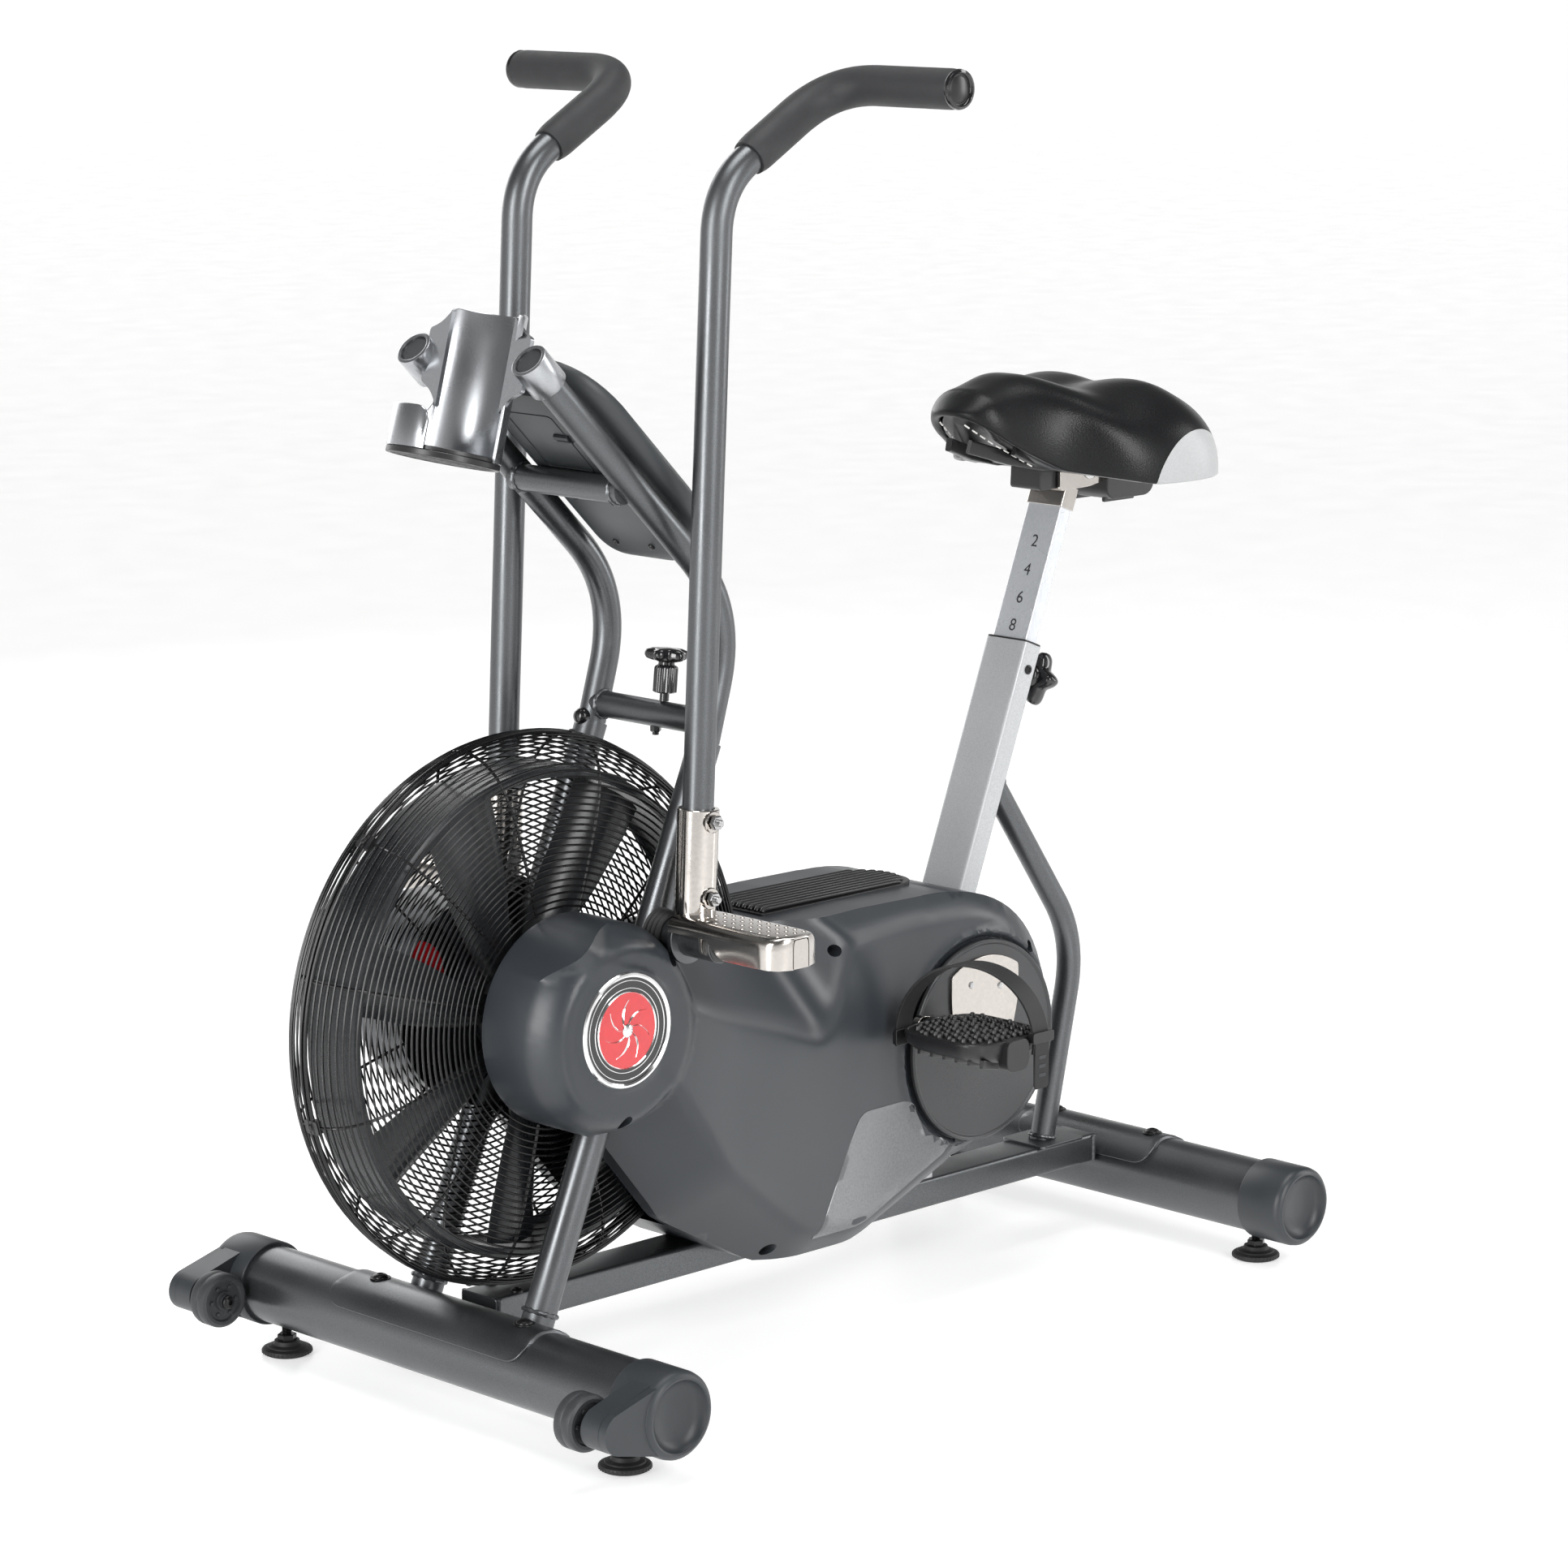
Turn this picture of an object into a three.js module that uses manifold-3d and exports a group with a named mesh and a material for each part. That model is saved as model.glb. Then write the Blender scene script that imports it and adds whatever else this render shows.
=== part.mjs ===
// Air bike: a stationary bicycle whose pedals turn a caged fan, with two swinging arm levers.
// Millimetres. +X points forward, +Y to the rider's left, +Z up. The origin is on the floor, at the
// centre of the footprint. The dimensions below are laid out from the front stabiliser's axis, and
// every piece is then moved forward by CENTRE_SHIFT.
import * as THREE from 'three';
import { mergeVertices } from 'three/addons/utils/BufferGeometryUtils.js';
import Module from 'manifold-3d';

const wasm = await Module();
wasm.setup();

// ---------- driving dimensions ----------
const GAP = 0.3;                                    // clearance between touching pieces
const CENTRE_SHIFT = 402;                           // from the footprint's centre to the front stabiliser
const STABILISER = { radius: 38, wall: 2.5, z: 67, frontX: 0, rearX: -934, frontHalf: 316, rearHalf: 278 };
const CAP = { radius: 42, wall: 4, length: 56 };
const FOOT = { radius: 25, frontY: 245, rearY: 218 };
const WHEEL = { radius: 27, width: 24, x: 70, y: 264, z: 66, pin: 5 };
const PLATE = { thickness: 3, frontHalf: 140, rearHalf: 95, halfAngle: 1.05 };
const FORK = { radius: 16, wall: 2.5, y: 80, bottom: [-38, 86], top: [-262, 620] };
const BEAM = { halfWidth: 25, bottom: 75, top: 105, wall: 3 };
const FAN = { x: -96, z: 376, hubRadius: 46, rimRadius: 236, halfWidth: 34, blades: 7, axle: 8 };
const CAGE = { radius: 268, faceRadius: 236, halfDepth: 57, hubRadius: 106, wall: 2.5 };
const CRANK = { x: -622, z: 272, axle: 10, length: 100, discRadius: 104, discY: 108, leadAngle: 0.3 };
const PULLEY = { big: 85, small: 17, inner: 59.3, width: 3.4, belt: 2.6 };
const ECCENTRIC = { radius: 45, offset: 18, inner: 78, width: 6 };
const COVER = { side: 106, wall: 3.5, front: 58.8, bossY: 150, bossRadius: 102, bossFaceRadius: 76 };
const PIVOT = { x: -182, z: 453, shaft: 9, tube: 17, inner: 97, outer: 186 };
const LEVER = { x: -215, z: 350, inner: 97, width: 4, pin: 5 };
const ARM = { radius: 15, wall: 2, y: 138, sleeveRadius: 20, sleeveTop: 575, gripRadius: 19, gripEnd: 299 };
const MAST = { radius: 14, wall: 2, y: 80 };
const CROSS = { radius: 13, lower: [-268, 640], upper: [-164, 872] };
const HOLDER = { x: -8, z: 912, lean: 0.26, radius: 50, wall: 3, height: 140, lip: 40, floor: 5 };
const SEAT = { tubeWidth: 56, tubeDepth: 26, postWidth: 46, postDepth: 17, wall: 2.5, lean: 0.372 };
const SEAT_TOP = [-786, 650];                       // centre of the seat tube's upper end, in X and Z
const PEDAL = { inner: 127, outer: 243, halfLength: 55, thickness: 24 };

// ---------- materials ----------
const material = (color, roughness, metalness) =>
  new THREE.MeshStandardMaterial({ color, roughness, metalness });
const PAINT = material(0x55585b, 0.42, 0.6);
const SILVER = material(0xb4b7ba, 0.4, 0.6);
const CHROME = material(0xd6d3cf, 0.14, 1.0);
const COVER_PLASTIC = material(0x3b3f43, 0.5, 0.0);
const BLACK_PLASTIC = material(0x17181a, 0.45, 0.0);
const WIRE = material(0x0b0b0c, 0.35, 0.4);
const RUBBER = material(0x1c1d1e, 0.8, 0.0);
const LEATHER = material(0x121315, 0.45, 0.0);
const SCREEN = material(0x28302c, 0.15, 0.0);

// ---------- geometry helpers ----------
const bike = new THREE.Group();

function signedVolume(geometry) {
  const p = geometry.attributes.position;
  const index = geometry.index;
  const [a, b, c] = [new THREE.Vector3(), new THREE.Vector3(), new THREE.Vector3()];
  let volume = 0;
  for (let i = 0; i < index.count; i += 3) {
    a.fromBufferAttribute(p, index.getX(i));
    b.fromBufferAttribute(p, index.getX(i + 1));
    c.fromBufferAttribute(p, index.getX(i + 2));
    volume += a.dot(b.cross(c));
  }
  return volume;
}

// A closed three.js geometry as a manifold solid with its faces pointing out.
function solid(geometry) {
  const bare = geometry.clone();
  bare.deleteAttribute('normal');
  bare.deleteAttribute('uv');
  const merged = mergeVertices(bare, 1e-3);
  const triVerts = Uint32Array.from(merged.index.array);
  if (signedVolume(merged) < 0) {
    for (let i = 0; i < triVerts.length; i += 3) {
      [triVerts[i], triVerts[i + 1]] = [triVerts[i + 1], triVerts[i]];
    }
  }
  const vertProperties = Float32Array.from(merged.attributes.position.array);
  return new wasm.Manifold(new wasm.Mesh({ numProp: 3, vertProperties, triVerts }));
}

function add(name, shape, finish) {
  const mesh = (shape.isBufferGeometry ? solid(shape) : shape).getMesh();
  const geometry = new THREE.BufferGeometry();
  geometry.setAttribute('position', new THREE.BufferAttribute(Float32Array.from(mesh.vertProperties), 3));
  geometry.setIndex(new THREE.BufferAttribute(Uint32Array.from(mesh.triVerts), 1));
  geometry.translate(CENTRE_SHIFT, 0, 0);
  geometry.computeVertexNormals();
  const node = new THREE.Mesh(geometry, finish);
  node.name = name;
  bike.add(node);
  return node;
}

const union = (...shapes) =>
  shapes.map((s) => (s.isBufferGeometry ? solid(s) : s)).reduce((a, b) => a.add(b));
const cut = (base, ...tools) => tools.map((s) => (s.isBufferGeometry ? solid(s) : s))
  .reduce((a, b) => a.subtract(b), base.isBufferGeometry ? solid(base) : base);

// A round bar along Y, from y0 to y1, centred on (x, z).
function barY(radius, y0, y1, x, z, sides = 16) {
  return new THREE.CylinderGeometry(radius, radius, y1 - y0, sides).translate(x, (y0 + y1) / 2, z);
}

// A body of revolution about a line parallel to Y; profile points are [radius, y].
function turned(profile, x, z, sides = 32) {
  const points = profile.map(([r, y]) => new THREE.Vector2(r, y));
  return new THREE.LatheGeometry(points, sides).translate(x, 0, z);
}

// An outline in X and Z, extruded in Y from y0 to y1.
function slab(shape, y0, y1, curveSegments = 5) {
  return new THREE.ExtrudeGeometry(shape, { depth: y1 - y0, bevelEnabled: false, curveSegments })
    .rotateX(Math.PI / 2).translate(0, y1, 0);
}

function box(x0, x1, y0, y1, z0, z1) {
  return new THREE.BoxGeometry(x1 - x0, y1 - y0, z1 - z0)
    .translate((x0 + x1) / 2, (y0 + y1) / 2, (z0 + z1) / 2);
}

// A curve through stations, so that a tube along it has one ring of points at each station.
class StationPath extends THREE.Curve {
  constructor(stations) {
    super();
    this.stations = stations;
    this.steps = stations.length - 1;
  }

  getPoint(t, target = new THREE.Vector3()) {
    const place = Math.min(Math.max(t * this.steps, 0), this.steps);
    const i = Math.min(Math.floor(place), this.steps - 1);
    return target.lerpVectors(this.stations[i], this.stations[i + 1], place - i);
  }

  getUtoTmapping(u) {
    return u;
  }
}

// A line through points, with each inner corner rounded off by the given length in a few chords.
function roundedPath(points, corner, chords = 4) {
  const v = points.map((p) => new THREE.Vector3(...p));
  const stations = [v[0]];
  for (let i = 1; i < v.length - 1; i += 1) {
    const before = v[i].clone().lerp(v[i - 1], corner / v[i].distanceTo(v[i - 1]));
    const after = v[i].clone().lerp(v[i + 1], corner / v[i].distanceTo(v[i + 1]));
    stations.push(...new THREE.QuadraticBezierCurve3(before, v[i], after).getPoints(chords));
  }
  stations.push(v[v.length - 1]);
  return new StationPath(stations);
}

function ring(radius, inner) {
  const shape = new THREE.Shape().absarc(0, 0, radius, 0, Math.PI * 2, false);
  if (inner > 0) {
    shape.holes.push(new THREE.Path().absarc(0, 0, inner, 0, Math.PI * 2, true));
  }
  return shape;
}

// A round tube that follows a path; an inner radius of 0 makes it solid.
function tube(path, radius, inner, sides = 12) {
  return new THREE.ExtrudeGeometry(ring(radius, inner), {
    steps: path.steps, bevelEnabled: false, extrudePath: path, curveSegments: sides / 2,
  });
}

function straightTube(from, to, radius, inner, sides = 12) {
  const path = new StationPath([new THREE.Vector3(...from), new THREE.Vector3(...to)]);
  return tube(path, radius, inner, sides);
}

// The outline around two circles and the tangents between them.
function linkShape(x0, z0, r0, x1, z1, r1) {
  const along = Math.atan2(z1 - z0, x1 - x0);
  const spread = Math.acos((r0 - r1) / Math.hypot(x1 - x0, z1 - z0));
  const shape = new THREE.Shape();
  shape.absarc(x0, z0, r0, along + spread, along - spread + Math.PI * 2, false);
  shape.absarc(x1, z1, r1, along - spread, along + spread, false);
  return shape;
}

const polygon = (points) => new THREE.Shape(points.map(([x, z]) => new THREE.Vector2(x, z)));
const sideName = (side) => (side > 0 ? 'left' : 'right');
// Mirrors a span in Y to the given side, lowest value first.
const span = (side, y0, y1) => (side > 0 ? [y0, y1] : [-y1, -y0]);

// ---------- base ----------
// A stabiliser tube with the curved plate that is welded over its top.
function stabiliser(name, x, half, plateHalf) {
  const { radius, wall, z } = STABILISER;
  const outer = radius + PLATE.thickness;
  const shape = new THREE.Shape();
  const [a0, a1] = [Math.PI / 2 - PLATE.halfAngle, Math.PI / 2 + PLATE.halfAngle];
  shape.absarc(x, z, outer, a0, a1, false);
  shape.absarc(x, z, radius - 1, a1, a0, true);
  const bar = straightTube([x, -half, z], [x, half, z], radius, radius - wall, 24);
  add(name, union(bar, slab(shape, -plateHalf, plateHalf, 10)), PAINT);
}

function endCap(name, x, half, side, withBracket) {
  const inner = STABILISER.radius + GAP;
  const open = half + GAP + CAP.wall - CAP.length;
  const end = half + GAP + CAP.wall;
  const profile = [
    [inner, open], [CAP.radius, open], [CAP.radius, end - 4], [CAP.radius - 5, end], [28, end],
    [24, end - 2], [0, end - 2], [0, end - CAP.wall], [inner, end - CAP.wall], [inner, open],
  ];
  let body = solid(turned(profile.map(([r, y]) => [r, y * side]), x, STABILISER.z, 24));
  if (withBracket) {
    const [y0, y1] = span(side, WHEEL.y + WHEEL.width / 2 + 3, end - 5);
    const arm = slab(linkShape(x, STABILISER.z, 40, WHEEL.x, WHEEL.z, 22), y0, y1);
    const [c0, c1] = span(side, open - 1, end - CAP.wall);
    body = cut(union(body, arm), barY(inner, c0, c1, x, STABILISER.z, 24));
    const [p0, p1] = span(side, WHEEL.y - WHEEL.width / 2 - 4, end - 8);
    body = union(body, barY(WHEEL.pin, p0, p1, WHEEL.x, WHEEL.z, 12));
  }
  add(name, body, COVER_PLASTIC);
}

function levelFoot(name, x, y) {
  const top = STABILISER.z - STABILISER.radius - GAP;
  const pad = new THREE.LatheGeometry([
    [0, 0], [FOOT.radius - 2, 0], [FOOT.radius, 3], [FOOT.radius - 3, 7], [12, 12], [9, 12], [9, 19],
    [5, 19], [5, top], [0, top],
  ].map(([r, z]) => new THREE.Vector2(r, z)), 14).rotateX(Math.PI / 2).translate(x, y, 0);
  add(name, pad, BLACK_PLASTIC);
}

// ---------- frame ----------
const forkAt = (z) => FORK.bottom[0] + ((z - FORK.bottom[1]) * (FORK.top[0] - FORK.bottom[0]))
  / (FORK.top[1] - FORK.bottom[1]);

function forkBar(side, radius, inner) {
  const y = FORK.y * side;
  const [bottom, top] = [FORK.bottom, FORK.top];
  return straightTube([bottom[0], y, bottom[1]], [top[0], y, top[1]], radius, inner, 12);
}

function frame() {
  const saddle = barY(STABILISER.radius + PLATE.thickness + 2 * GAP, -150, 150, 0, STABILISER.z, 48);
  for (const side of [1, -1]) {
    const fork = cut(forkBar(side, FORK.radius, FORK.radius - FORK.wall), saddle);
    const [y0, y1] = span(side, 72, 78);
    const plate = slab(linkShape(FAN.x, FAN.z, 20, forkAt(FAN.z), FAN.z, 26), y0, y1);
    const [h0, h1] = span(side, 60, 90);
    const bearing = cut(
      plate,
      forkBar(side, FORK.radius - 1, 0),
      barY(FAN.axle + GAP, h0, h1, FAN.x, FAN.z),
      box(-300, forkAt(FAN.z) - 4, -100, 100, 300, 500),
    );
    add(`fork_${sideName(side)}`, union(fork, largest(bearing)), PAINT);
  }
  const [w, bottom, top] = [BEAM.halfWidth, BEAM.bottom, BEAM.top];
  const rearSaddle = STABILISER.rearX + STABILISER.radius + 0.5;
  const outer = box(rearSaddle - 20, -20, -w, w, bottom, top);
  const [wi, bi, ti] = [w - BEAM.wall, bottom + BEAM.wall, top - BEAM.wall];
  const inner = box(rearSaddle - 25, -15, -wi, wi, bi, ti);
  const rearReach = PLATE.rearHalf + 4;
  const rearRadius = STABILISER.radius + PLATE.thickness + 2 * GAP;
  const rearTube = barY(rearRadius, -rearReach, rearReach, STABILISER.rearX, STABILISER.z, 48);
  add('base_beam', cut(outer, inner, saddle, rearTube), PAINT);
}

function largest(shape) {
  return shape.decompose().sort((a, b) => b.volume() - a.volume())[0];
}

// ---------- fan, cage and drive ----------
function fan() {
  const { x, z, hubRadius, rimRadius, halfWidth, blades, axle } = FAN;
  const hub = turned([
    [axle + 1, -30], [26, -30], [hubRadius, -12], [hubRadius, 12], [26, 30], [axle + 1, 30],
    [axle + 1, -30],
  ], x, z, 24);
  let wheel = solid(hub);
  const rim = turned([
    [rimRadius - 10, -halfWidth], [rimRadius, -halfWidth], [rimRadius, halfWidth],
    [rimRadius - 10, halfWidth],
    [rimRadius - 10, -halfWidth],
  ], x, z, 36);
  add('fan_rim', rim, BLACK_PLASTIC);
  for (let i = 0; i < blades; i += 1) {
    const angle = (i * Math.PI * 2) / blades;
    const outline = new THREE.Shape();
    outline.moveTo(-9, -2);
    outline.quadraticCurveTo(0, 6, 12, 1);
    outline.lineTo(12, 4);
    outline.quadraticCurveTo(0, 10, -9, 2);
    const blade = new THREE.ExtrudeGeometry(outline, {
      depth: rimRadius - 14 - hubRadius + 2, steps: 4, bevelEnabled: false, curveSegments: 3,
    });
    const p = blade.attributes.position;
    for (let k = 0; k < p.count; k += 1) {
      const t = p.getZ(k) / (rimRadius - hubRadius);
      const spread = 1.2 + 2.4 * Math.sin(Math.min(1, t * 1.1) * Math.PI * 0.6);
      const twist = 0.95 - 0.35 * t;
      const [a, b] = [p.getX(k) * spread, p.getY(k)];
      const [c, d] = [Math.cos(twist), Math.sin(twist)];
      p.setXYZ(k, a * d - b * c, a * c + b * d, p.getZ(k));
    }
    wheel = union(wheel, blade.translate(0, 0, hubRadius - 4).rotateY(angle).translate(x, 0, z));
  }
  add('fan_wheel', wheel, BLACK_PLASTIC);
  const [p0, p1] = span(-1, PULLEY.inner, PULLEY.inner + PULLEY.width);
  add('fan_axle', union(barY(axle, -79, 79, x, z), barY(PULLEY.small, p0, p1, x, z, 24)), CHROME);
}

// One wire basket half, drawn as a dished shell with rows of open windows.
function cageHalf(side) {
  const { radius, faceRadius, halfDepth, hubRadius, wall } = CAGE;
  const outerLine = [[hubRadius, halfDepth], [faceRadius - 20, halfDepth], [radius - 9, 34], [radius, GAP]];
  const innerLine = [
    [radius - wall, GAP], [radius - 9 - wall, 33], [faceRadius - 21, halfDepth - wall],
    [hubRadius, halfDepth - wall],
  ];
  const profile = [...outerLine, ...innerLine, outerLine[0]].map(([r, y]) => [r, y * side]);
  let shell = solid(turned(profile, FAN.x, FAN.z, 36));
  const rows = [[hubRadius + 8, 158], [166, faceRadius - 26]];
  const windows = 12;
  for (const [r0, r1] of rows) {
    for (let i = 0; i < windows; i += 1) {
      const a0 = ((i + 0.06) * Math.PI * 2) / windows;
      const a1 = ((i + 0.94) * Math.PI * 2) / windows;
      const corners = [[r0, a0], [r1, a0], [r1, a1], [r0, a1]];
      const shape = polygon(corners.map(([r, a]) => [r * Math.cos(a), r * Math.sin(a)]));
      const [y0, y1] = span(side, halfDepth - 8, halfDepth + 4);
      shell = cut(shell, slab(shape, y0, y1).translate(FAN.x, 0, FAN.z));
    }
  }
  add(`fan_cage_${sideName(side)}`, shell, WIRE);
}

function drive() {
  const { x, z, axle, length, discRadius, discY, leadAngle } = CRANK;
  const [p0, p1] = span(-1, PULLEY.inner, PULLEY.inner + PULLEY.width);
  let shaft = union(barY(axle, -discY + GAP, discY - GAP, x, z), barY(PULLEY.big, p0, p1, x, z, 32));
  for (const side of [1, -1]) {
    const [y0, y1] = span(side, ECCENTRIC.inner, ECCENTRIC.inner + ECCENTRIC.width);
    shaft = union(shaft, barY(ECCENTRIC.radius, y0, y1, x, z + ECCENTRIC.offset * side, 28));
  }
  add('crank_axle', shaft, CHROME);
  const gapRadius = PULLEY.small + 3 * GAP;
  const bigRadius = PULLEY.big + 3 * GAP;
  const loop = linkShape(x, z, bigRadius + PULLEY.belt, FAN.x, FAN.z, gapRadius + PULLEY.belt);
  const inside = linkShape(x, z, bigRadius, FAN.x, FAN.z, gapRadius);
  add('drive_belt', cut(slab(loop, p0, p1, 9), slab(inside, p0 - 1, p1 + 1, 9)), RUBBER);
  for (const side of [1, -1]) {
    const [y0, y1] = span(side, discY, discY + 6);
    const disc = barY(discRadius, y0, y1, x, z, 32);
    const [px, pz] = [x + side * length * Math.cos(leadAngle), z + side * length * Math.sin(leadAngle)];
    const [a0, a1] = span(side, discY + 5, discY + 14);
    const arm = slab(linkShape(x, z, 20, px, pz, 13), a0, a1);
    const [s0, s1] = span(side, discY + 10, PEDAL.outer - 8);
    const spindle = barY(6, s0, s1, px, pz, 12);
    add(`crank_${sideName(side)}`, union(disc, arm, spindle), CHROME);
    pedal(side, px, pz);
  }
}

function pedal(side, x, z) {
  const [y0, y1] = span(side, PEDAL.inner, PEDAL.outer);
  const [l, t] = [PEDAL.halfLength, PEDAL.thickness / 2];
  const outline = new THREE.Shape();
  outline.moveTo(-l, t - 4);
  outline.lineTo(-l + 4, t);
  outline.lineTo(l - 4, t);
  outline.lineTo(l, t - 4);
  outline.quadraticCurveTo(l - 12, -t, 14, -t - 2);
  outline.lineTo(-14, -t - 2);
  outline.quadraticCurveTo(-l + 12, -t, -l, t - 4);
  const [h0, h1] = span(side, PEDAL.inner - 5, PEDAL.outer - 7);
  const body = slab(outline, y0, y1, 5).translate(x, 0, z);
  add(`pedal_${sideName(side)}`, cut(body, barY(6.5, h0, h1, x, z, 12)), BLACK_PLASTIC);
  strap(side, x, z);
}

// A band that arches over the foot. It leans, so its inner end is further forward than its outer end.
function strap(side, x, z) {
  const middle = (side * (PEDAL.inner + PEDAL.outer)) / 2;
  const half = (PEDAL.outer - PEDAL.inner) / 2 + 3;
  const [height, band, width, drop, lean] = [76, 3, 22, 12, 0.55];
  const [wide, narrow] = [half + band / 2, half - band / 2];
  const arch = new THREE.Shape();
  arch.moveTo(-wide, -drop);
  arch.lineTo(-wide, 0);
  arch.absellipse(0, 0, wide, height, Math.PI, 0, true);
  arch.lineTo(wide, -drop);
  arch.lineTo(narrow, -drop);
  arch.lineTo(narrow, 0);
  arch.absellipse(0, 0, narrow, height - band, 0, Math.PI, false);
  arch.lineTo(-narrow, -drop);
  const body = new THREE.ExtrudeGeometry(arch, { depth: width, bevelEnabled: false, curveSegments: 8 })
    .translate(0, 0, -width / 2).rotateX(Math.PI / 2).rotateZ(Math.PI / 2);
  const shear = new THREE.Matrix4().set(1, -lean * side, 0, 0, 0, 1, 0, 0, 0, 0, 1, 0, 0, 0, 0, 1);
  add(`pedal_strap_${sideName(side)}`, body.applyMatrix4(shear).translate(x, middle, z), RUBBER);
}

// ---------- covers ----------
// The body outline behind the round boss, pulled in by an inset.
function bodyOutline(inset) {
  const i = inset;
  const shape = new THREE.Shape();
  shape.moveTo(-96, 376 + COVER.bossRadius - 4 - i);
  shape.lineTo(-166, 446 - i);
  shape.lineTo(-250, 412 - i);
  shape.lineTo(-372, 428 - i);
  shape.lineTo(-560, 428 - i);
  shape.quadraticCurveTo(-700 + i, 428 - i, -732 + i, 330);
  shape.quadraticCurveTo(-748 + i, 270, -728 + i, 204);
  shape.quadraticCurveTo(-700 + i, 158 + i, -640, 152 + i);
  shape.lineTo(-596 + i, 150 + i);
  shape.lineTo(-452 + i / 2, 92 + i);
  shape.lineTo(-330, 92 + i);
  shape.lineTo(-206 - i, 160 + i);
  shape.lineTo(-128 - i, 250 + i);
  shape.lineTo(-60, 281 + i);
  return shape;
}

function coverHalf(side) {
  const { side: y, wall, front, bossY, bossRadius, bossFaceRadius } = COVER;
  const seam = GAP / 2;
  const cageEdge = -372;
  const [f0, f1] = span(side, front, y);
  const [r0, r1] = span(side, seam, y);
  const [fi0, fi1] = span(side, front - 5, y - wall);
  const [ri0, ri1] = span(side, -1, y - wall);
  const rearOnly = box(-800, cageEdge, -200, 200, 0, 600);
  const rearInside = box(-800, cageEdge - wall, -200, 200, 0, 600);
  const boss = turned([
    [0, front], [bossRadius, front], [bossRadius, y - 2], [bossFaceRadius + 12, bossY - 16],
    [bossFaceRadius, bossY - 4], [bossFaceRadius - 12, bossY], [0, bossY],
  ].map(([r, v]) => [r, v * side]), FAN.x, FAN.z, 32);
  const bossInside = turned([
    [0, front - 5], [bossRadius - wall, front - 5], [bossRadius - wall, y - 4],
    [bossFaceRadius + 8, bossY - 19],
    [bossFaceRadius - 3, bossY - 8], [0, bossY - 4],
  ].map(([r, v]) => [r, v * side]), FAN.x, FAN.z, 32);
  const rearHalf = solid(slab(bodyOutline(0), r0, r1)).intersect(solid(rearOnly));
  const outer = union(slab(bodyOutline(0), f0, f1), boss, rearHalf);
  const hollow = union(
    slab(bodyOutline(wall), fi0, fi1),
    bossInside,
    solid(slab(bodyOutline(wall), ri0, ri1)).intersect(solid(rearInside)),
  );
  const [o0, o1] = span(side, 50, 200);
  const [i0, i1] = span(side, 50, y - wall);
  const shell = cut(
    outer,
    hollow,
    forkBar(side, FORK.radius + 1.5, 0),
    barY(PIVOT.tube + 2, o0, o1, PIVOT.x, PIVOT.z),
    barY(PIVOT.tube + 32, i0, i1, PIVOT.x, PIVOT.z),
    barY(CRANK.axle + 4, o0, o1, CRANK.x, CRANK.z),
    box(CRANK.x - 24, CRANK.x + 24, -24, 24, 90, 200),
    seatBar(SEAT.tubeWidth + 2, SEAT.tubeDepth + 2, -420, 40),
    box(-900, -20, -BEAM.halfWidth - 1, BEAM.halfWidth + 1, BEAM.bottom - 10, BEAM.top + 1),
    barY(CAGE.radius + 2, -CAGE.halfDepth - 1, CAGE.halfDepth + 1, FAN.x, FAN.z, 48),
  );
  add(`cover_${sideName(side)}`, largest(shell), COVER_PLASTIC);
}

// ---------- arms ----------
function arm(side) {
  const y = ARM.y * side;
  const end = ARM.gripEnd * side;
  const name = sideName(side);
  const gripStart = [-266, y, 1178];
  const path = roundedPath([[-193.5, y, 482], [-226, y, 1154.4], gripStart], 44);
  add(`arm_tube_${name}`, tube(path, ARM.radius, ARM.radius - ARM.wall), PAINT);
  const offset = (p, q, d) => {
    const from = new THREE.Vector3(...p);
    const step = new THREE.Vector3(...q).sub(from).normalize().multiplyScalar(d);
    return from.add(step).toArray();
  };
  const elbow = [-376, y, 1243];
  const gripPath = roundedPath([offset(gripStart, elbow, GAP), elbow, [-376, end, 1243]], 60);
  add(`grip_${name}`, tube(gripPath, ARM.gripRadius, 0, 14), RUBBER);
  const [t0, t1] = span(side, PIVOT.inner, PIVOT.outer);
  const [l0, l1] = span(side, LEVER.inner, LEVER.inner + LEVER.width);
  const [n0, n1] = span(side, LEVER.inner - 11, LEVER.inner + 1);
  const [h0, h1] = span(side, PIVOT.inner - 5, PIVOT.outer + 5);
  const pivotTube = cut(
    union(
      barY(PIVOT.tube, t0, t1, PIVOT.x, PIVOT.z, 16),
      slab(linkShape(PIVOT.x, PIVOT.z, 17, LEVER.x, LEVER.z, 11), l0, l1),
      barY(LEVER.pin, n0, n1, LEVER.x, LEVER.z, 12),
    ),
    barY(PIVOT.shaft + GAP, h0, h1, PIVOT.x, PIVOT.z, 20),
  );
  add(`arm_pivot_${name}`, pivotTube, PAINT);
  footPeg(side, y);
  const [s0, s1] = span(side, 96.6, PIVOT.outer + GAP);
  const [b0, b1] = span(side, PIVOT.outer + GAP, PIVOT.outer + 9);
  const shaft = union(barY(PIVOT.shaft, s0, s1, PIVOT.x, PIVOT.z), barY(13, b0, b1, PIVOT.x, PIVOT.z, 6));
  add(`pivot_shaft_${name}`, shaft, BLACK_PLASTIC);
}

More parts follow.
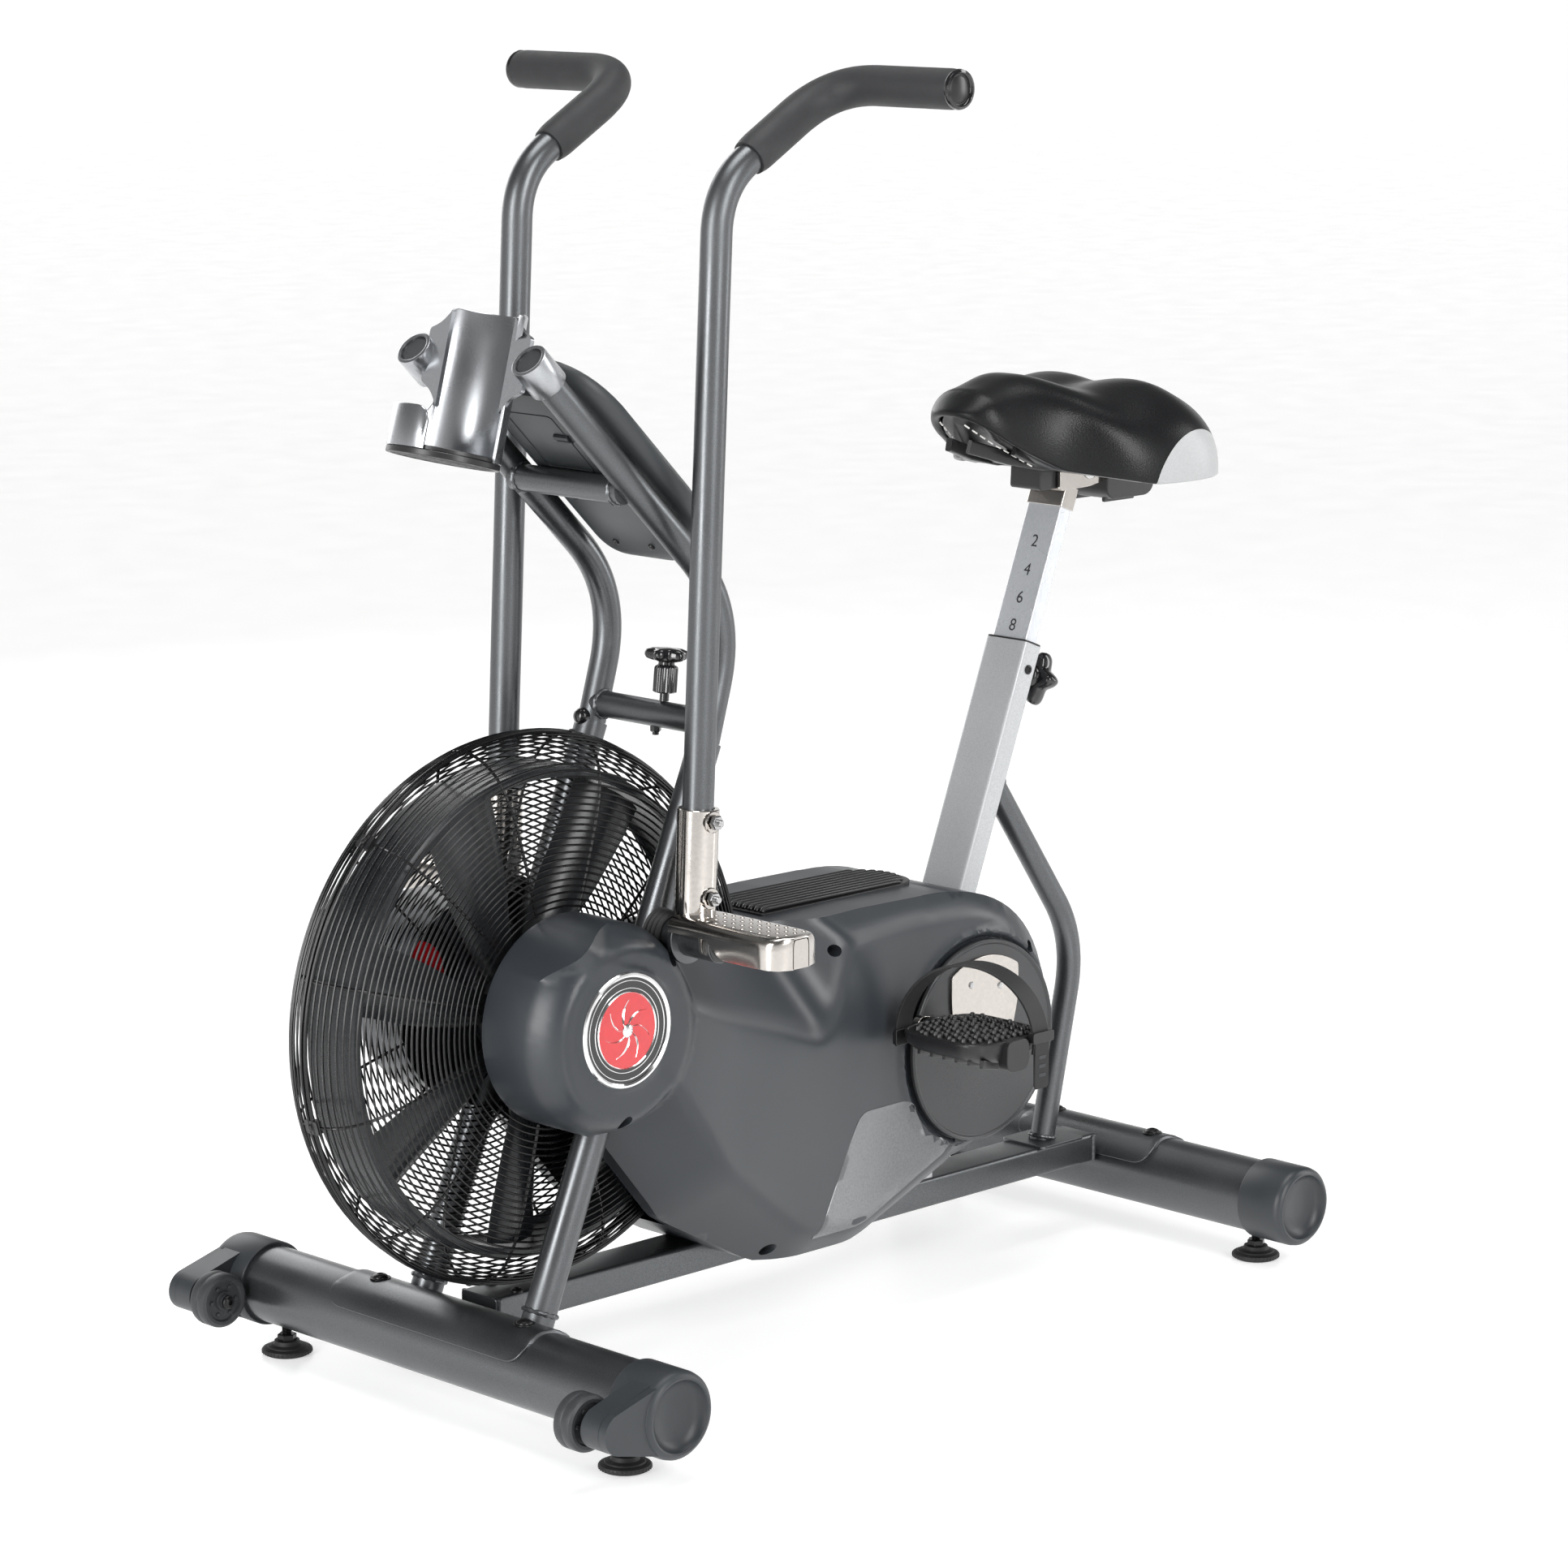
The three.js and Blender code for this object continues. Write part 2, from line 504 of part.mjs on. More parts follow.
// The chrome bracket: a sleeve around the arm tube and a channel-shaped foot peg below it.
function footPeg(side, y) {
  const sleeve = straightTube([-193.2, y, 474], [-198.4, y, ARM.sleeveTop], ARM.sleeveRadius, 0, 16);
  const boreTop = [-199.2, y, ARM.sleeveTop + 15];
  const bore = straightTube([-192.6, y, 462], boreTop, ARM.radius + 3 * GAP, 0, 16);
  const [y0, y1] = span(side, 140, 286);
  const outline = new THREE.Shape();
  outline.moveTo(-156, 446);
  outline.lineTo(-156, 466);
  outline.quadraticCurveTo(-158, 477, -168, 477);
  outline.lineTo(-206, 477);
  outline.quadraticCurveTo(-218, 477, -218, 466);
  outline.lineTo(-218, 428);
  outline.lineTo(-215, 428);
  outline.lineTo(-215, 466);
  outline.quadraticCurveTo(-214, 474, -206, 474);
  outline.lineTo(-168, 474);
  outline.quadraticCurveTo(-160, 474, -159, 466);
  outline.lineTo(-159, 446);
  const channel = slab(outline, y0, y1, 4);
  const [c0, c1] = span(side, 100, 200);
  const [g0, g1] = span(side, PIVOT.outer - 8, PIVOT.outer - 4);
  const web = slab(polygon([[-216, 430], [-158, 446], [-158, 475], [-216, 475]]), g0, g1);
  const body = cut(union(sleeve, channel, web), bore, barY(PIVOT.tube + GAP, c0, c1, PIVOT.x, PIVOT.z, 20));
  add(`foot_peg_${sideName(side)}`, largest(body), CHROME);
}

// The rod from the arm's lever to the crank's eccentric. Its large eye lies beside the eccentric.
function linkRod(side) {
  const eyeZ = CRANK.z + ECCENTRIC.offset * side;
  const [y0, y1] = span(side, 88, 94);
  const [h0, h1] = span(side, 80, 100);
  const eye = ECCENTRIC.radius + 2;
  const bar = slab(linkShape(LEVER.x, LEVER.z, 7, CRANK.x, eyeZ, 9), y0, y1, 6);
  const body = union(
    bar,
    barY(12, y0, y1, LEVER.x, LEVER.z, 16),
    barY(eye + 8, y0, y1, CRANK.x, eyeZ, 24),
  );
  const pinHole = barY(LEVER.pin + GAP, h0, h1, LEVER.x, LEVER.z, 12);
  const rod = cut(body, pinHole, barY(eye, h0, h1, CRANK.x, eyeZ, 24));
  add(`link_rod_${sideName(side)}`, rod, PAINT);
}

// ---------- mast, console and bottle holder ----------
const MAST_TOP = [-43, 1002];
const MAST_BEND = [-268, 780];
const MAST_FOOT = [-263, 622];

function mast() {
  const mastPath = (y) => roundedPath([
    [MAST_TOP[0], y, MAST_TOP[1]],
    [MAST_BEND[0] - 32, y, MAST_BEND[1] - 32],
    [MAST_FOOT[0], y, MAST_FOOT[1]],
  ], 76);
  const space = [];
  for (const side of [1, -1]) {
    const path = mastPath(MAST.y * side);
    add(`mast_${sideName(side)}`, tube(path, MAST.radius, MAST.radius - MAST.wall), PAINT);
    space.push(tube(path, MAST.radius + GAP, 0));
  }
  const { radius, lower, upper } = CROSS;
  for (const [name, [x, z]] of [['lower', lower], ['upper', upper]]) {
    const bar = cut(barY(radius, -MAST.y, MAST.y, x, z, 16), ...space);
    add(`mast_cross_${name}`, largest(bar), PAINT);
  }
  const knob = new THREE.LatheGeometry([
    [0, 0], [5, 0], [5, 9], [12, 10], [12, 34], [8, 36], [8, 39], [19, 41], [22, 45], [20, 50],
    [8, 52], [0, 52],
  ].map(([r, h]) => new THREE.Vector2(r, h)), 14).rotateX(Math.PI / 2);
  add('mast_knob', knob.rotateY(-0.1).translate(lower[0], 18, lower[1] + radius + GAP), BLACK_PLASTIC);
}

// The console leans back with the upper mast. Local X runs down the mast, local Z towards the rider.
const CONSOLE_TILT = Math.atan2(MAST_TOP[1] - MAST_BEND[1], MAST_TOP[0] - MAST_BEND[0]);
const toConsole = (geometry) => geometry.rotateX(Math.PI).rotateY(Math.PI - CONSOLE_TILT)
  .translate(MAST_TOP[0], 0, MAST_TOP[1]);

function roundedPlate(x0, x1, half, corner, z0, z1) {
  const shape = new THREE.Shape();
  shape.moveTo(x0 + corner, -half);
  shape.lineTo(x1 - corner, -half);
  shape.quadraticCurveTo(x1, -half, x1, -half + corner);
  shape.lineTo(x1, half - corner);
  shape.quadraticCurveTo(x1, half, x1 - corner, half);
  shape.lineTo(x0 + corner, half);
  shape.quadraticCurveTo(x0, half, x0, half - corner);
  shape.lineTo(x0, -half + corner);
  shape.quadraticCurveTo(x0, -half, x0 + corner, -half);
  const settings = { depth: z1 - z0, bevelEnabled: false, curveSegments: 4 };
  return new THREE.ExtrudeGeometry(shape, settings).translate(0, 0, z0);
}

const BUTTONS = [[228, -45], [228, 0], [228, 45]];

function consoleUnit() {
  let housing = solid(roundedPlate(40, 300, 92, 70, 17, 42));
  housing = cut(housing, roundedPlate(80, 196, 66, 12, 38, 60));
  for (const [x, y] of BUTTONS) {
    const well = new THREE.CylinderGeometry(9.5, 9.5, 20, 16).rotateX(Math.PI / 2);
    housing = cut(housing, well.translate(x, y, 46));
  }
  add('console_housing', placed(union(housing, roundedPlate(60, 299, 58, 30, 6, 18))), BLACK_PLASTIC);
  add('console_screen', placed(solid(roundedPlate(81, 195, 65, 11, 38.3, 41))), SCREEN);
  BUTTONS.forEach(([x, y], i) => {
    const cap = new THREE.CylinderGeometry(8.8, 8.8, 6.5, 16).rotateX(Math.PI / 2).translate(x, y, 41.2);
    add(`console_button_${i + 1}`, placed(solid(cap)), COVER_PLASTIC);
  });
}

// Moves a solid from the console's own frame to its place on the mast.
function placed(shape) {
  const mesh = shape.getMesh();
  const geometry = new THREE.BufferGeometry();
  geometry.setAttribute('position', new THREE.BufferAttribute(Float32Array.from(mesh.vertProperties), 3));
  geometry.setIndex(new THREE.BufferAttribute(Uint32Array.from(mesh.triVerts), 1));
  return toConsole(geometry);
}

// A round cup: a tall panel on the rider's side, a low lip round the other side, and a gap between.
function bottleHolder() {
  const { x, z, lean, radius, wall, height, lip, floor } = HOLDER;
  const curvedWall = (from, to, depth) => {
    const shape = new THREE.Shape();
    shape.absarc(0, 0, radius, from, to, false);
    shape.absarc(0, 0, radius - wall, to, from, true);
    return new THREE.ExtrudeGeometry(shape, { depth, bevelEnabled: false, curveSegments: 14 });
  };
  const rad = Math.PI / 180;
  const panel = curvedWall(110 * rad, 250 * rad, height);
  const lowLip = curvedWall(245 * rad, 387 * rad, lip);
  const base = new THREE.CylinderGeometry(radius - 0.5, radius - 0.5, floor, 36).rotateX(Math.PI / 2)
    .translate(0, 0, floor / 2);
  const place = (g) => g.rotateY(-lean).translate(x, 0, z);
  let body = union(place(panel), place(lowLip), place(base));
  const up = [Math.cos(CONSOLE_TILT), Math.sin(CONSOLE_TILT)];
  const alongMast = (d, y) => [MAST_TOP[0] + d * up[0], y, MAST_TOP[1] + d * up[1]];
  for (const side of [1, -1]) {
    const y = MAST.y * side;
    const [w0, w1] = span(side, 44, 66);
    body = union(
      body,
      place(box(-22, -17, w0, w1, 62, 124)),
      straightTube(alongMast(0, y), alongMast(-34, y), MAST.radius + 4.5, 0, 16),
    );
  }
  for (const side of [1, -1]) {
    const y = MAST.y * side;
    body = cut(body, straightTube(alongMast(30, y), alongMast(-90, y), MAST.radius + GAP, 0, 16));
  }
  add('bottle_holder', body, SILVER);
}

// ---------- seat ----------
// A bar of the seat tube's section along its leaning axis, from a to b measured up from its top end.
function seatBar(width, depth, a, b) {
  const bar = new THREE.BoxGeometry(depth, width, b - a).translate(0, 0, (a + b) / 2);
  return bar.rotateY(-SEAT.lean).translate(SEAT_TOP[0], 0, SEAT_TOP[1]);
}
const seatPoint = (s) => [SEAT_TOP[0] - s * Math.sin(SEAT.lean), SEAT_TOP[1] + s * Math.cos(SEAT.lean)];

function seat() {
  const { tubeWidth: w, tubeDepth: d, postWidth: pw, postDepth: pd, wall } = SEAT;
  const shellRadius = 23;
  const shellBar = barY(shellRadius, -50, 50, CRANK.x, CRANK.z, 24);
  const [nutX, nutZ] = seatPoint(-28);
  const knobHole = new THREE.CylinderGeometry(7, 7, 60, 16).rotateZ(Math.PI / 2).rotateY(-SEAT.lean)
    .translate(nutX - 30 * Math.cos(SEAT.lean), 0, nutZ - 30 * Math.sin(SEAT.lean));
  const seatTube = cut(
    seatBar(w, d, -400, 0),
    seatBar(w - 2 * wall, d - 2 * wall, -410, 10),
    barY(shellRadius - 2, -60, 60, CRANK.x, CRANK.z, 24),
    knobHole,
  );
  const strut = box(CRANK.x - 22, CRANK.x + 22, -22, 22, BEAM.top + GAP, CRANK.z - 10);
  const bracket = cut(union(shellBar, strut), barY(CRANK.axle + GAP, -60, 60, CRANK.x, CRANK.z, 24));
  add('seat_tube', union(largest(seatTube), bracket), SILVER);
  const sleeve = seatBar(w - 2 * wall - 2 * GAP, d - 2 * wall - 2 * GAP, -44, GAP);
  const bushing = cut(sleeve, seatBar(pw + 2 * GAP, pd + 2 * GAP, -50, 5), knobHole);
  add('post_bushing', bushing, BLACK_PLASTIC);
  const bracePath = roundedPath([[-740, 0, 524], [-886, 0, 318], [-836, 0, BEAM.top + GAP - 8]], 56);
  const tubeSpace = seatBar(w + 2 * GAP, d + 2 * GAP, -410, 0);
  const beamSpace = box(-900, -760, -40, 40, 60, BEAM.top + GAP);
  const clipped = cut(tube(bracePath, 13, 10.5), tubeSpace, beamSpace);
  add('seat_brace', largest(clipped), PAINT);
  add('seat_post', seatBar(pw, pd, -205, 152), SILVER);
  const clamp = union(
    seatBar(pw + 8, pd + 14, 152 + GAP, 172),
    box(-950, -822, -24, 24, 811, 826),
  );
  add('saddle_clamp', clamp, CHROME);
  saddle();
  const knob = new THREE.LatheGeometry([
    [0, 0], [6, 0], [6, 20], [14, 21], [14, 28], [26, 31], [27, 38], [24, 44], [10, 46], [0, 46],
  ].map(([r, h]) => new THREE.Vector2(r, h)), 18).rotateZ(Math.PI / 2).rotateY(-SEAT.lean);
  const reach = pd / 2 + GAP;
  const knobX = nutX - reach * Math.cos(SEAT.lean);
  add('seat_knob', knob.translate(knobX, 0, nutZ - reach * Math.sin(SEAT.lean)), BLACK_PLASTIC);
}

function saddle() {
  const plan = new THREE.Shape();
  plan.moveTo(-684, 0);
  plan.bezierCurveTo(-684, 50, -720, 56, -760, 66);
  plan.bezierCurveTo(-830, 84, -850, 142, -905, 142);
  plan.bezierCurveTo(-960, 142, -972, 60, -966, 0);
  plan.bezierCurveTo(-972, -60, -960, -142, -905, -142);
  plan.bezierCurveTo(-850, -142, -830, -84, -760, -66);
  plan.bezierCurveTo(-720, -56, -684, -50, -684, 0);
  const pad = new THREE.ExtrudeGeometry(plan, {
    depth: 62, bevelEnabled: true, bevelSize: 7, bevelThickness: 8, bevelSegments: 1, curveSegments: 6,
  });
  add('saddle', pad.translate(0, 0, 850), LEATHER);
}

// ---------- assembly ----------
stabiliser('front_stabiliser', STABILISER.frontX, STABILISER.frontHalf, PLATE.frontHalf);
stabiliser('rear_stabiliser', STABILISER.rearX, STABILISER.rearHalf, PLATE.rearHalf);
for (const side of [1, -1]) {
  const name = sideName(side);
  endCap(`front_cap_${name}`, STABILISER.frontX, STABILISER.frontHalf, side, true);
  endCap(`rear_cap_${name}`, STABILISER.rearX, STABILISER.rearHalf, side, false);
  levelFoot(`front_foot_${name}`, STABILISER.frontX, FOOT.frontY * side);
  levelFoot(`rear_foot_${name}`, STABILISER.rearX, FOOT.rearY * side);
  const [w0, w1] = span(side, WHEEL.y - WHEEL.width / 2, WHEEL.y + WHEEL.width / 2);
  const wheel = turned([
    [WHEEL.pin + GAP, w0], [WHEEL.radius - 3, w0], [WHEEL.radius, w0 + 4], [WHEEL.radius, w1 - 4],
    [WHEEL.radius - 3, w1], [WHEEL.pin + GAP, w1], [WHEEL.pin + GAP, w0],
  ], WHEEL.x, WHEEL.z, 18);
  add(`transport_wheel_${name}`, wheel, RUBBER);
}
frame();
fan();
for (const side of [1, -1]) {
  cageHalf(side);
  coverHalf(side);
  arm(side);
  linkRod(side);
}
drive();
mast();
consoleUnit();
bottleHolder();
seat();

export default bike;
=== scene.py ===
import math
import bpy
import bmesh
from mathutils import Matrix, Vector, geometry


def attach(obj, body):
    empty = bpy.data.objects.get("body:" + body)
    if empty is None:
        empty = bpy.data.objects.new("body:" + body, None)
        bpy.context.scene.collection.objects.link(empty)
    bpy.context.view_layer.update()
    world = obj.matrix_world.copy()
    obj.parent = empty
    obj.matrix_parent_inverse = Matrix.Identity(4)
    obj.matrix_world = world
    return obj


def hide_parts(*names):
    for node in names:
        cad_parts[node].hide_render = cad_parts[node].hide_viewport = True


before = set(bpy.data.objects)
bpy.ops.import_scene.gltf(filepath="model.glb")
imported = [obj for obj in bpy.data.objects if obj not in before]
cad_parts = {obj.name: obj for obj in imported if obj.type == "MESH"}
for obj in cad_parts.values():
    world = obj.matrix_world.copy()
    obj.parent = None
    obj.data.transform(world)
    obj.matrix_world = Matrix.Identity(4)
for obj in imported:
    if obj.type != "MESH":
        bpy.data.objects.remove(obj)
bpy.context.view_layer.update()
scene = bpy.context.scene

# Lengths below are in millimetres, measured from the front stabiliser's axis as in the CAD model.
SHIFT = 402.0
TAU = 2 * math.pi
UP, ACROSS = (0, 0, 1), (0, 1, 0)


# ------------------------------------------------------------------ materials
def node_of(tree, kind, *sources, **settings):
    """A node. Its first inputs take the sources, linked or set, and settings go by name."""
    n = tree.nodes.new(kind)
    for key, value in settings.items():
        if key in n.inputs:
            n.inputs[key].default_value = value
        else:
            setattr(n, key, value)
    for socket, source in zip(n.inputs, sources):
        feed(tree, source, socket)
    return n


def feed(tree, source, socket):
    if isinstance(source, bpy.types.NodeSocket):
        tree.links.new(source, socket)
    else:
        socket.default_value = source


def coordinates(tree):
    return node_of(tree, "ShaderNodeTexCoord").outputs["Object"]


def noise(tree, scale, detail=3.0, stretch=None):
    where = coordinates(tree)
    if stretch:
        where = node_of(tree, "ShaderNodeMapping", where, Scale=stretch).outputs["Vector"]
    return node_of(tree, "ShaderNodeTexNoise", where, Scale=scale, Detail=detail).outputs["Fac"]


def cells(tree, scale, feature):
    n = node_of(tree, "ShaderNodeTexVoronoi", coordinates(tree), Scale=scale, feature=feature)
    return n.outputs["Distance"]


def remap(tree, value, a, b, c, d):
    return node_of(tree, "ShaderNodeMapRange", value, a, b, c, d).outputs["Result"]


def mix(tree, factor, a, b):
    n = node_of(tree, "ShaderNodeMix", factor, data_type="RGBA")
    for socket, color in ((n.inputs[6], a), (n.inputs[7], b)):
        feed(tree, (*color, 1) if isinstance(color, tuple) else color, socket)
    return n.outputs[2]


def finish_of(name, color, roughness, metallic=0.0, spread=0.25, grain=900, depth=0.00006, rough_spread=0.08,
              patch=9, coat=0.0, coat_roughness=0.1, specular=0.5, sheen=0.0, relief=None, stretch=None):
    """A surface with mottled colour, uneven gloss and a fine relief: noise, or cells of a Voronoi feature."""
    m = bpy.data.materials.new(name)
    m.use_nodes = True
    tree = m.node_tree
    shader = tree.nodes["Principled BSDF"].inputs
    for key, value in (("Metallic", metallic), ("Coat Weight", coat), ("Coat Roughness", coat_roughness),
                       ("Specular IOR Level", specular), ("Sheen Weight", sheen)):
        shader[key].default_value = value
    fine = noise(tree, grain, 2.0, stretch)
    broad = noise(tree, patch, 4.0)
    dark = tuple(c * (1 - spread) for c in color)
    light = tuple(min(1.0, c * (1 + spread)) for c in color)
    tone = mix(tree, remap(tree, fine, 0.3, 0.7, 0, 1), dark, light)
    tree.links.new(mix(tree, remap(tree, broad, 0.35, 0.65, 0, 0.35), tone, color), shader["Base Color"])
    low, high = max(0.02, roughness - rough_spread), roughness + rough_spread
    tree.links.new(remap(tree, broad, 0.3, 0.7, low, high), shader["Roughness"])
    bump = node_of(tree, "ShaderNodeBump", Strength=0.6, Distance=depth)
    tree.links.new(cells(tree, grain, relief) if relief else fine, bump.inputs["Height"])
    tree.links.new(bump.outputs["Normal"], shader["Normal"])
    return m


# Name, colour, roughness, metallic, colour spread, grain per metre and relief depth in metres.
PAINT = finish_of("metallic_grey_paint", (0.118, 0.123, 0.128), 0.33, 0.88, 0.3, 1500, 0.00005)
SILVER_PAINT = finish_of("silver_grey_paint", (0.47, 0.48, 0.49), 0.42, 0.4, 0.22, 1300, 0.00008)
ZINC = finish_of("zinc_plating", (0.66, 0.68, 0.71), 0.24, 0.6, 0.08, 700, 0.00003, stretch=(1, 1, 0.08))
CHROME = finish_of("warm_chrome", (0.52, 0.49, 0.46), 0.14, 1.0, 0.05, 300, 0.00004, 0.05)
BRIGHT = finish_of("bright_chrome", (0.80, 0.80, 0.80), 0.12, 1.0, 0.04, 300, 0.00003, 0.05)
COVER = finish_of("cover_plastic", (0.026, 0.030, 0.035), 0.36, 0.0, 0.12, 2200, 0.00003, 0.04, 6)
CAP = finish_of("cap_plastic", (0.026, 0.030, 0.034), 0.44, 0.0, 0.14, 1800, 0.00005)
BLACK = finish_of("black_plastic", (0.010, 0.010, 0.011), 0.34, 0.0, 0.2, 1500, 0.00004)
GLOSS_BLACK = finish_of("gloss_black_plastic", (0.008, 0.008, 0.009), 0.16, 0.0, 0.2, 400, 0.00003, coat=0.4)
CONSOLE = finish_of("console_plastic", (0.036, 0.040, 0.043), 0.4, 0.0, 0.15, 1600, 0.00006)
FAN = finish_of("fan_plastic", (0.020, 0.022, 0.024), 0.24, 0.0, 0.25, 300, 0.00005, 0.07, 12)
WIRE = finish_of("wire_coating", (0.006, 0.006, 0.007), 0.24, 0.3, 0.2, 800, 0.00004)
RUBBER = finish_of("rubber", (0.014, 0.014, 0.015), 0.62, 0.0, 0.25, 900, 0.00012)
WHEEL_RUBBER = finish_of("wheel_plastic", (0.028, 0.030, 0.033), 0.5, 0.0, 0.2, 900, 0.00008)
FOAM = finish_of("grip_foam", (0.013, 0.0135, 0.015), 0.6, 0.0, 0.4, 1500, 0.00022, 0.06, 30,
                 relief="F1", sheen=0.04)
HOLDER = finish_of("silver_plastic", (0.40, 0.41, 0.425), 0.27, 0.95, 0.06, 500, 0.00003, 0.04, 14)
BOLT = finish_of("bolt_steel", (0.50, 0.50, 0.50), 0.28, 1.0, 0.15, 900, 0.00004)
DARK_BOLT = finish_of("black_bolt", (0.012, 0.012, 0.013), 0.3, 0.5, 0.2, 900, 0.00004)
DISC = finish_of("disc_paint", (0.055, 0.056, 0.058), 0.34, 0.5, 0.3, 1700, 0.00005)
DECAL = finish_of("decal_film", (0.095, 0.10, 0.105), 0.2, 0.2, 0.2, 500, 0.00003,
                  coat=0.6, coat_roughness=0.08)
RED = finish_of("red_enamel", (0.58, 0.008, 0.014), 0.2, 0.0, 0.06, 200, 0.00002,
                coat=1.0, coat_roughness=0.04)
GLASS = finish_of("display_window", (0.052, 0.062, 0.055), 0.08, 0.0, 0.05, 60, 0.00001, 0.02,
                  coat=1.0, coat_roughness=0.03)
INK = finish_of("dark_ink", (0.02, 0.022, 0.025), 0.4, 0.0, 0.2, 900, 0.00002)
THREAD = finish_of("white_thread", (0.72, 0.71, 0.68), 0.7, 0.0, 0.15, 2500, 0.0001, sheen=0.2)
WELD = finish_of("weld_bead", (0.12, 0.125, 0.13), 0.34, 0.8, 0.35, 260, 0.0003)

# The silver patch on the saddle's left rear corner, in metres; the right one mirrors it.
PATCH_CENTRE = (-0.514, 0.160, 0.804)
PATCH_RADIUS = 0.073
PATCH_EDGE, SEAM_WIDTH = 0.0006, 0.0008


def leather():
    """Grained black vinyl, with a silver patch and a dark seam round it on both rear corners."""
    m = finish_of("saddle_vinyl", (0.0075, 0.0078, 0.0085), 0.33, 0.0, 0.3, 620, 0.00022, 0.05, 14,
                  relief="SMOOTH_F1", coat=0.04, coat_roughness=0.3, specular=0.22)
    tree = m.node_tree
    base = tree.nodes["Principled BSDF"].inputs["Base Color"]
    split = node_of(tree, "ShaderNodeSeparateXYZ", coordinates(tree)).outputs
    side = node_of(tree, "ShaderNodeMath", split["Y"], operation="ABSOLUTE").outputs[0]
    folded = node_of(tree, "ShaderNodeCombineXYZ", split["X"], side, split["Z"]).outputs[0]
    reach = node_of(tree, "ShaderNodeVectorMath", folded, PATCH_CENTRE, operation="DISTANCE").outputs["Value"]
    inside = remap(tree, reach, PATCH_RADIUS, PATCH_RADIUS - PATCH_EDGE, 0, 1)
    silver = mix(tree, noise(tree, 500, 3), (0.36, 0.365, 0.37), (0.46, 0.465, 0.47))
    color = mix(tree, inside, base.links[0].from_socket, silver)
    seam = node_of(tree, "ShaderNodeMath", reach, PATCH_RADIUS, SEAM_WIDTH, operation="COMPARE").outputs[0]
    tree.links.new(mix(tree, seam, color, (0.006, 0.006, 0.006)), base)
    return m


LEATHER = leather()


# ------------------------------------------------------------------ outlines
def arc(cx, cz, r, a0, a1, n):
    """Points from angle a0 to a1 round a centre, both ends included."""
    angles = [a0 + (a1 - a0) * i / n for i in range(n + 1)]
    return [(cx + r * math.cos(a), cz + r * math.sin(a)) for a in angles]


def circle(cx, cz, r, n):
    return arc(cx, cz, r, 0, TAU, n)[:-1]


def curve(a, b, c, n):
    """Points of a quadratic curve from a to c, pulled toward b."""
    return [a * (1 - t) ** 2 + b * (2 * t * (1 - t)) + c * t * t for t in [k / n for k in range(n + 1)]]


def eased(points, corner, chords=20):
    """A line through points with every inner corner rounded, as the CAD tubes have it."""
    p = [Vector(q) for q in points]
    out = [p[0]]
    for before, q, after in zip(p, p[1:], p[2:]):
        a = q.lerp(before, corner / (before - q).length)
        b = q.lerp(after, corner / (after - q).length)
        out += curve(a, q, b, chords)
    return out + [p[-1]]


def filleted(points, radii, n=6):
    """A closed outline with each corner rounded by its own length, or all by one."""
    p = [Vector(q) for q in points]
    radii = radii if isinstance(radii, list) else [radii] * len(p)
    out = []
    for i, (q, r) in enumerate(zip(p, radii)):
        before, after = p[i - 1], p[(i + 1) % len(p)]
        a = q.lerp(before, min(0.49, r / (before - q).length))
        b = q.lerp(after, min(0.49, r / (after - q).length))
        out += [tuple(c) for c in (curve(a, q, b, n) if r else [q])]
    return out


def rect(x0, z0, x1, z1, corner, n=6):
    return filleted([(x0, z0), (x1, z0), (x1, z1), (x0, z1)], corner, n)


def bar_section(half_x, half_y, corner, n=5):
    return rect(-half_x, -half_y, half_x, half_y, corner, n)


def tangent_angles(big, small):
    """Where the common tangents of two circles (x, z, radius) touch them, as a low and a high angle."""
    along = math.atan2(small[1] - big[1], small[0] - big[0])
    spread = math.acos((big[2] - small[2]) / math.hypot(small[0] - big[0], small[1] - big[1]))
    return along - spread, along + spread


def link_outline(big, small, n_big, n_small):
    """Two circles (x, z, radius) joined by their tangents, the larger first."""
    low, high = tangent_angles(big, small)
    return arc(*big, high, low + TAU, n_big) + arc(*small, low, high, n_small)


def mirrored(half, middle=()):
    """A profile from its lower half, which is given by its upper points from the end inward."""
    return [(r, -h) for r, h in half] + list(middle) + half[::-1]


def basis(axis):
    w = Vector(axis).normalized()
    u = w.cross(Vector(UP) if abs(w.z) < 0.9 else Vector((1, 0, 0))).normalized()
    return u, w.cross(u), w


def ribbon(a, b):
    """Quads between two closed rings of point numbers."""
    n = len(a)
    return [(a[i], a[(i + 1) % n], b[(i + 1) % n], b[i]) for i in range(n)]


def crossings(sides, y):
    """Where a level line crosses the sides of closed loops, in order."""
    return sorted(a[0] + (y - a[1]) * (b[0] - a[0]) / (b[1] - a[1])
                  for a, b in sides if (a[1] > y) != (b[1] > y))


def is_inside(q, sides, margin=0.0):
    """Whether a point is inside closed loops and no nearer than the margin to their corners."""
    odd = sum(x > q[0] for x in crossings(sides, q[1])) % 2
    return odd and all(math.dist(q, a) >= margin for a, b in sides)


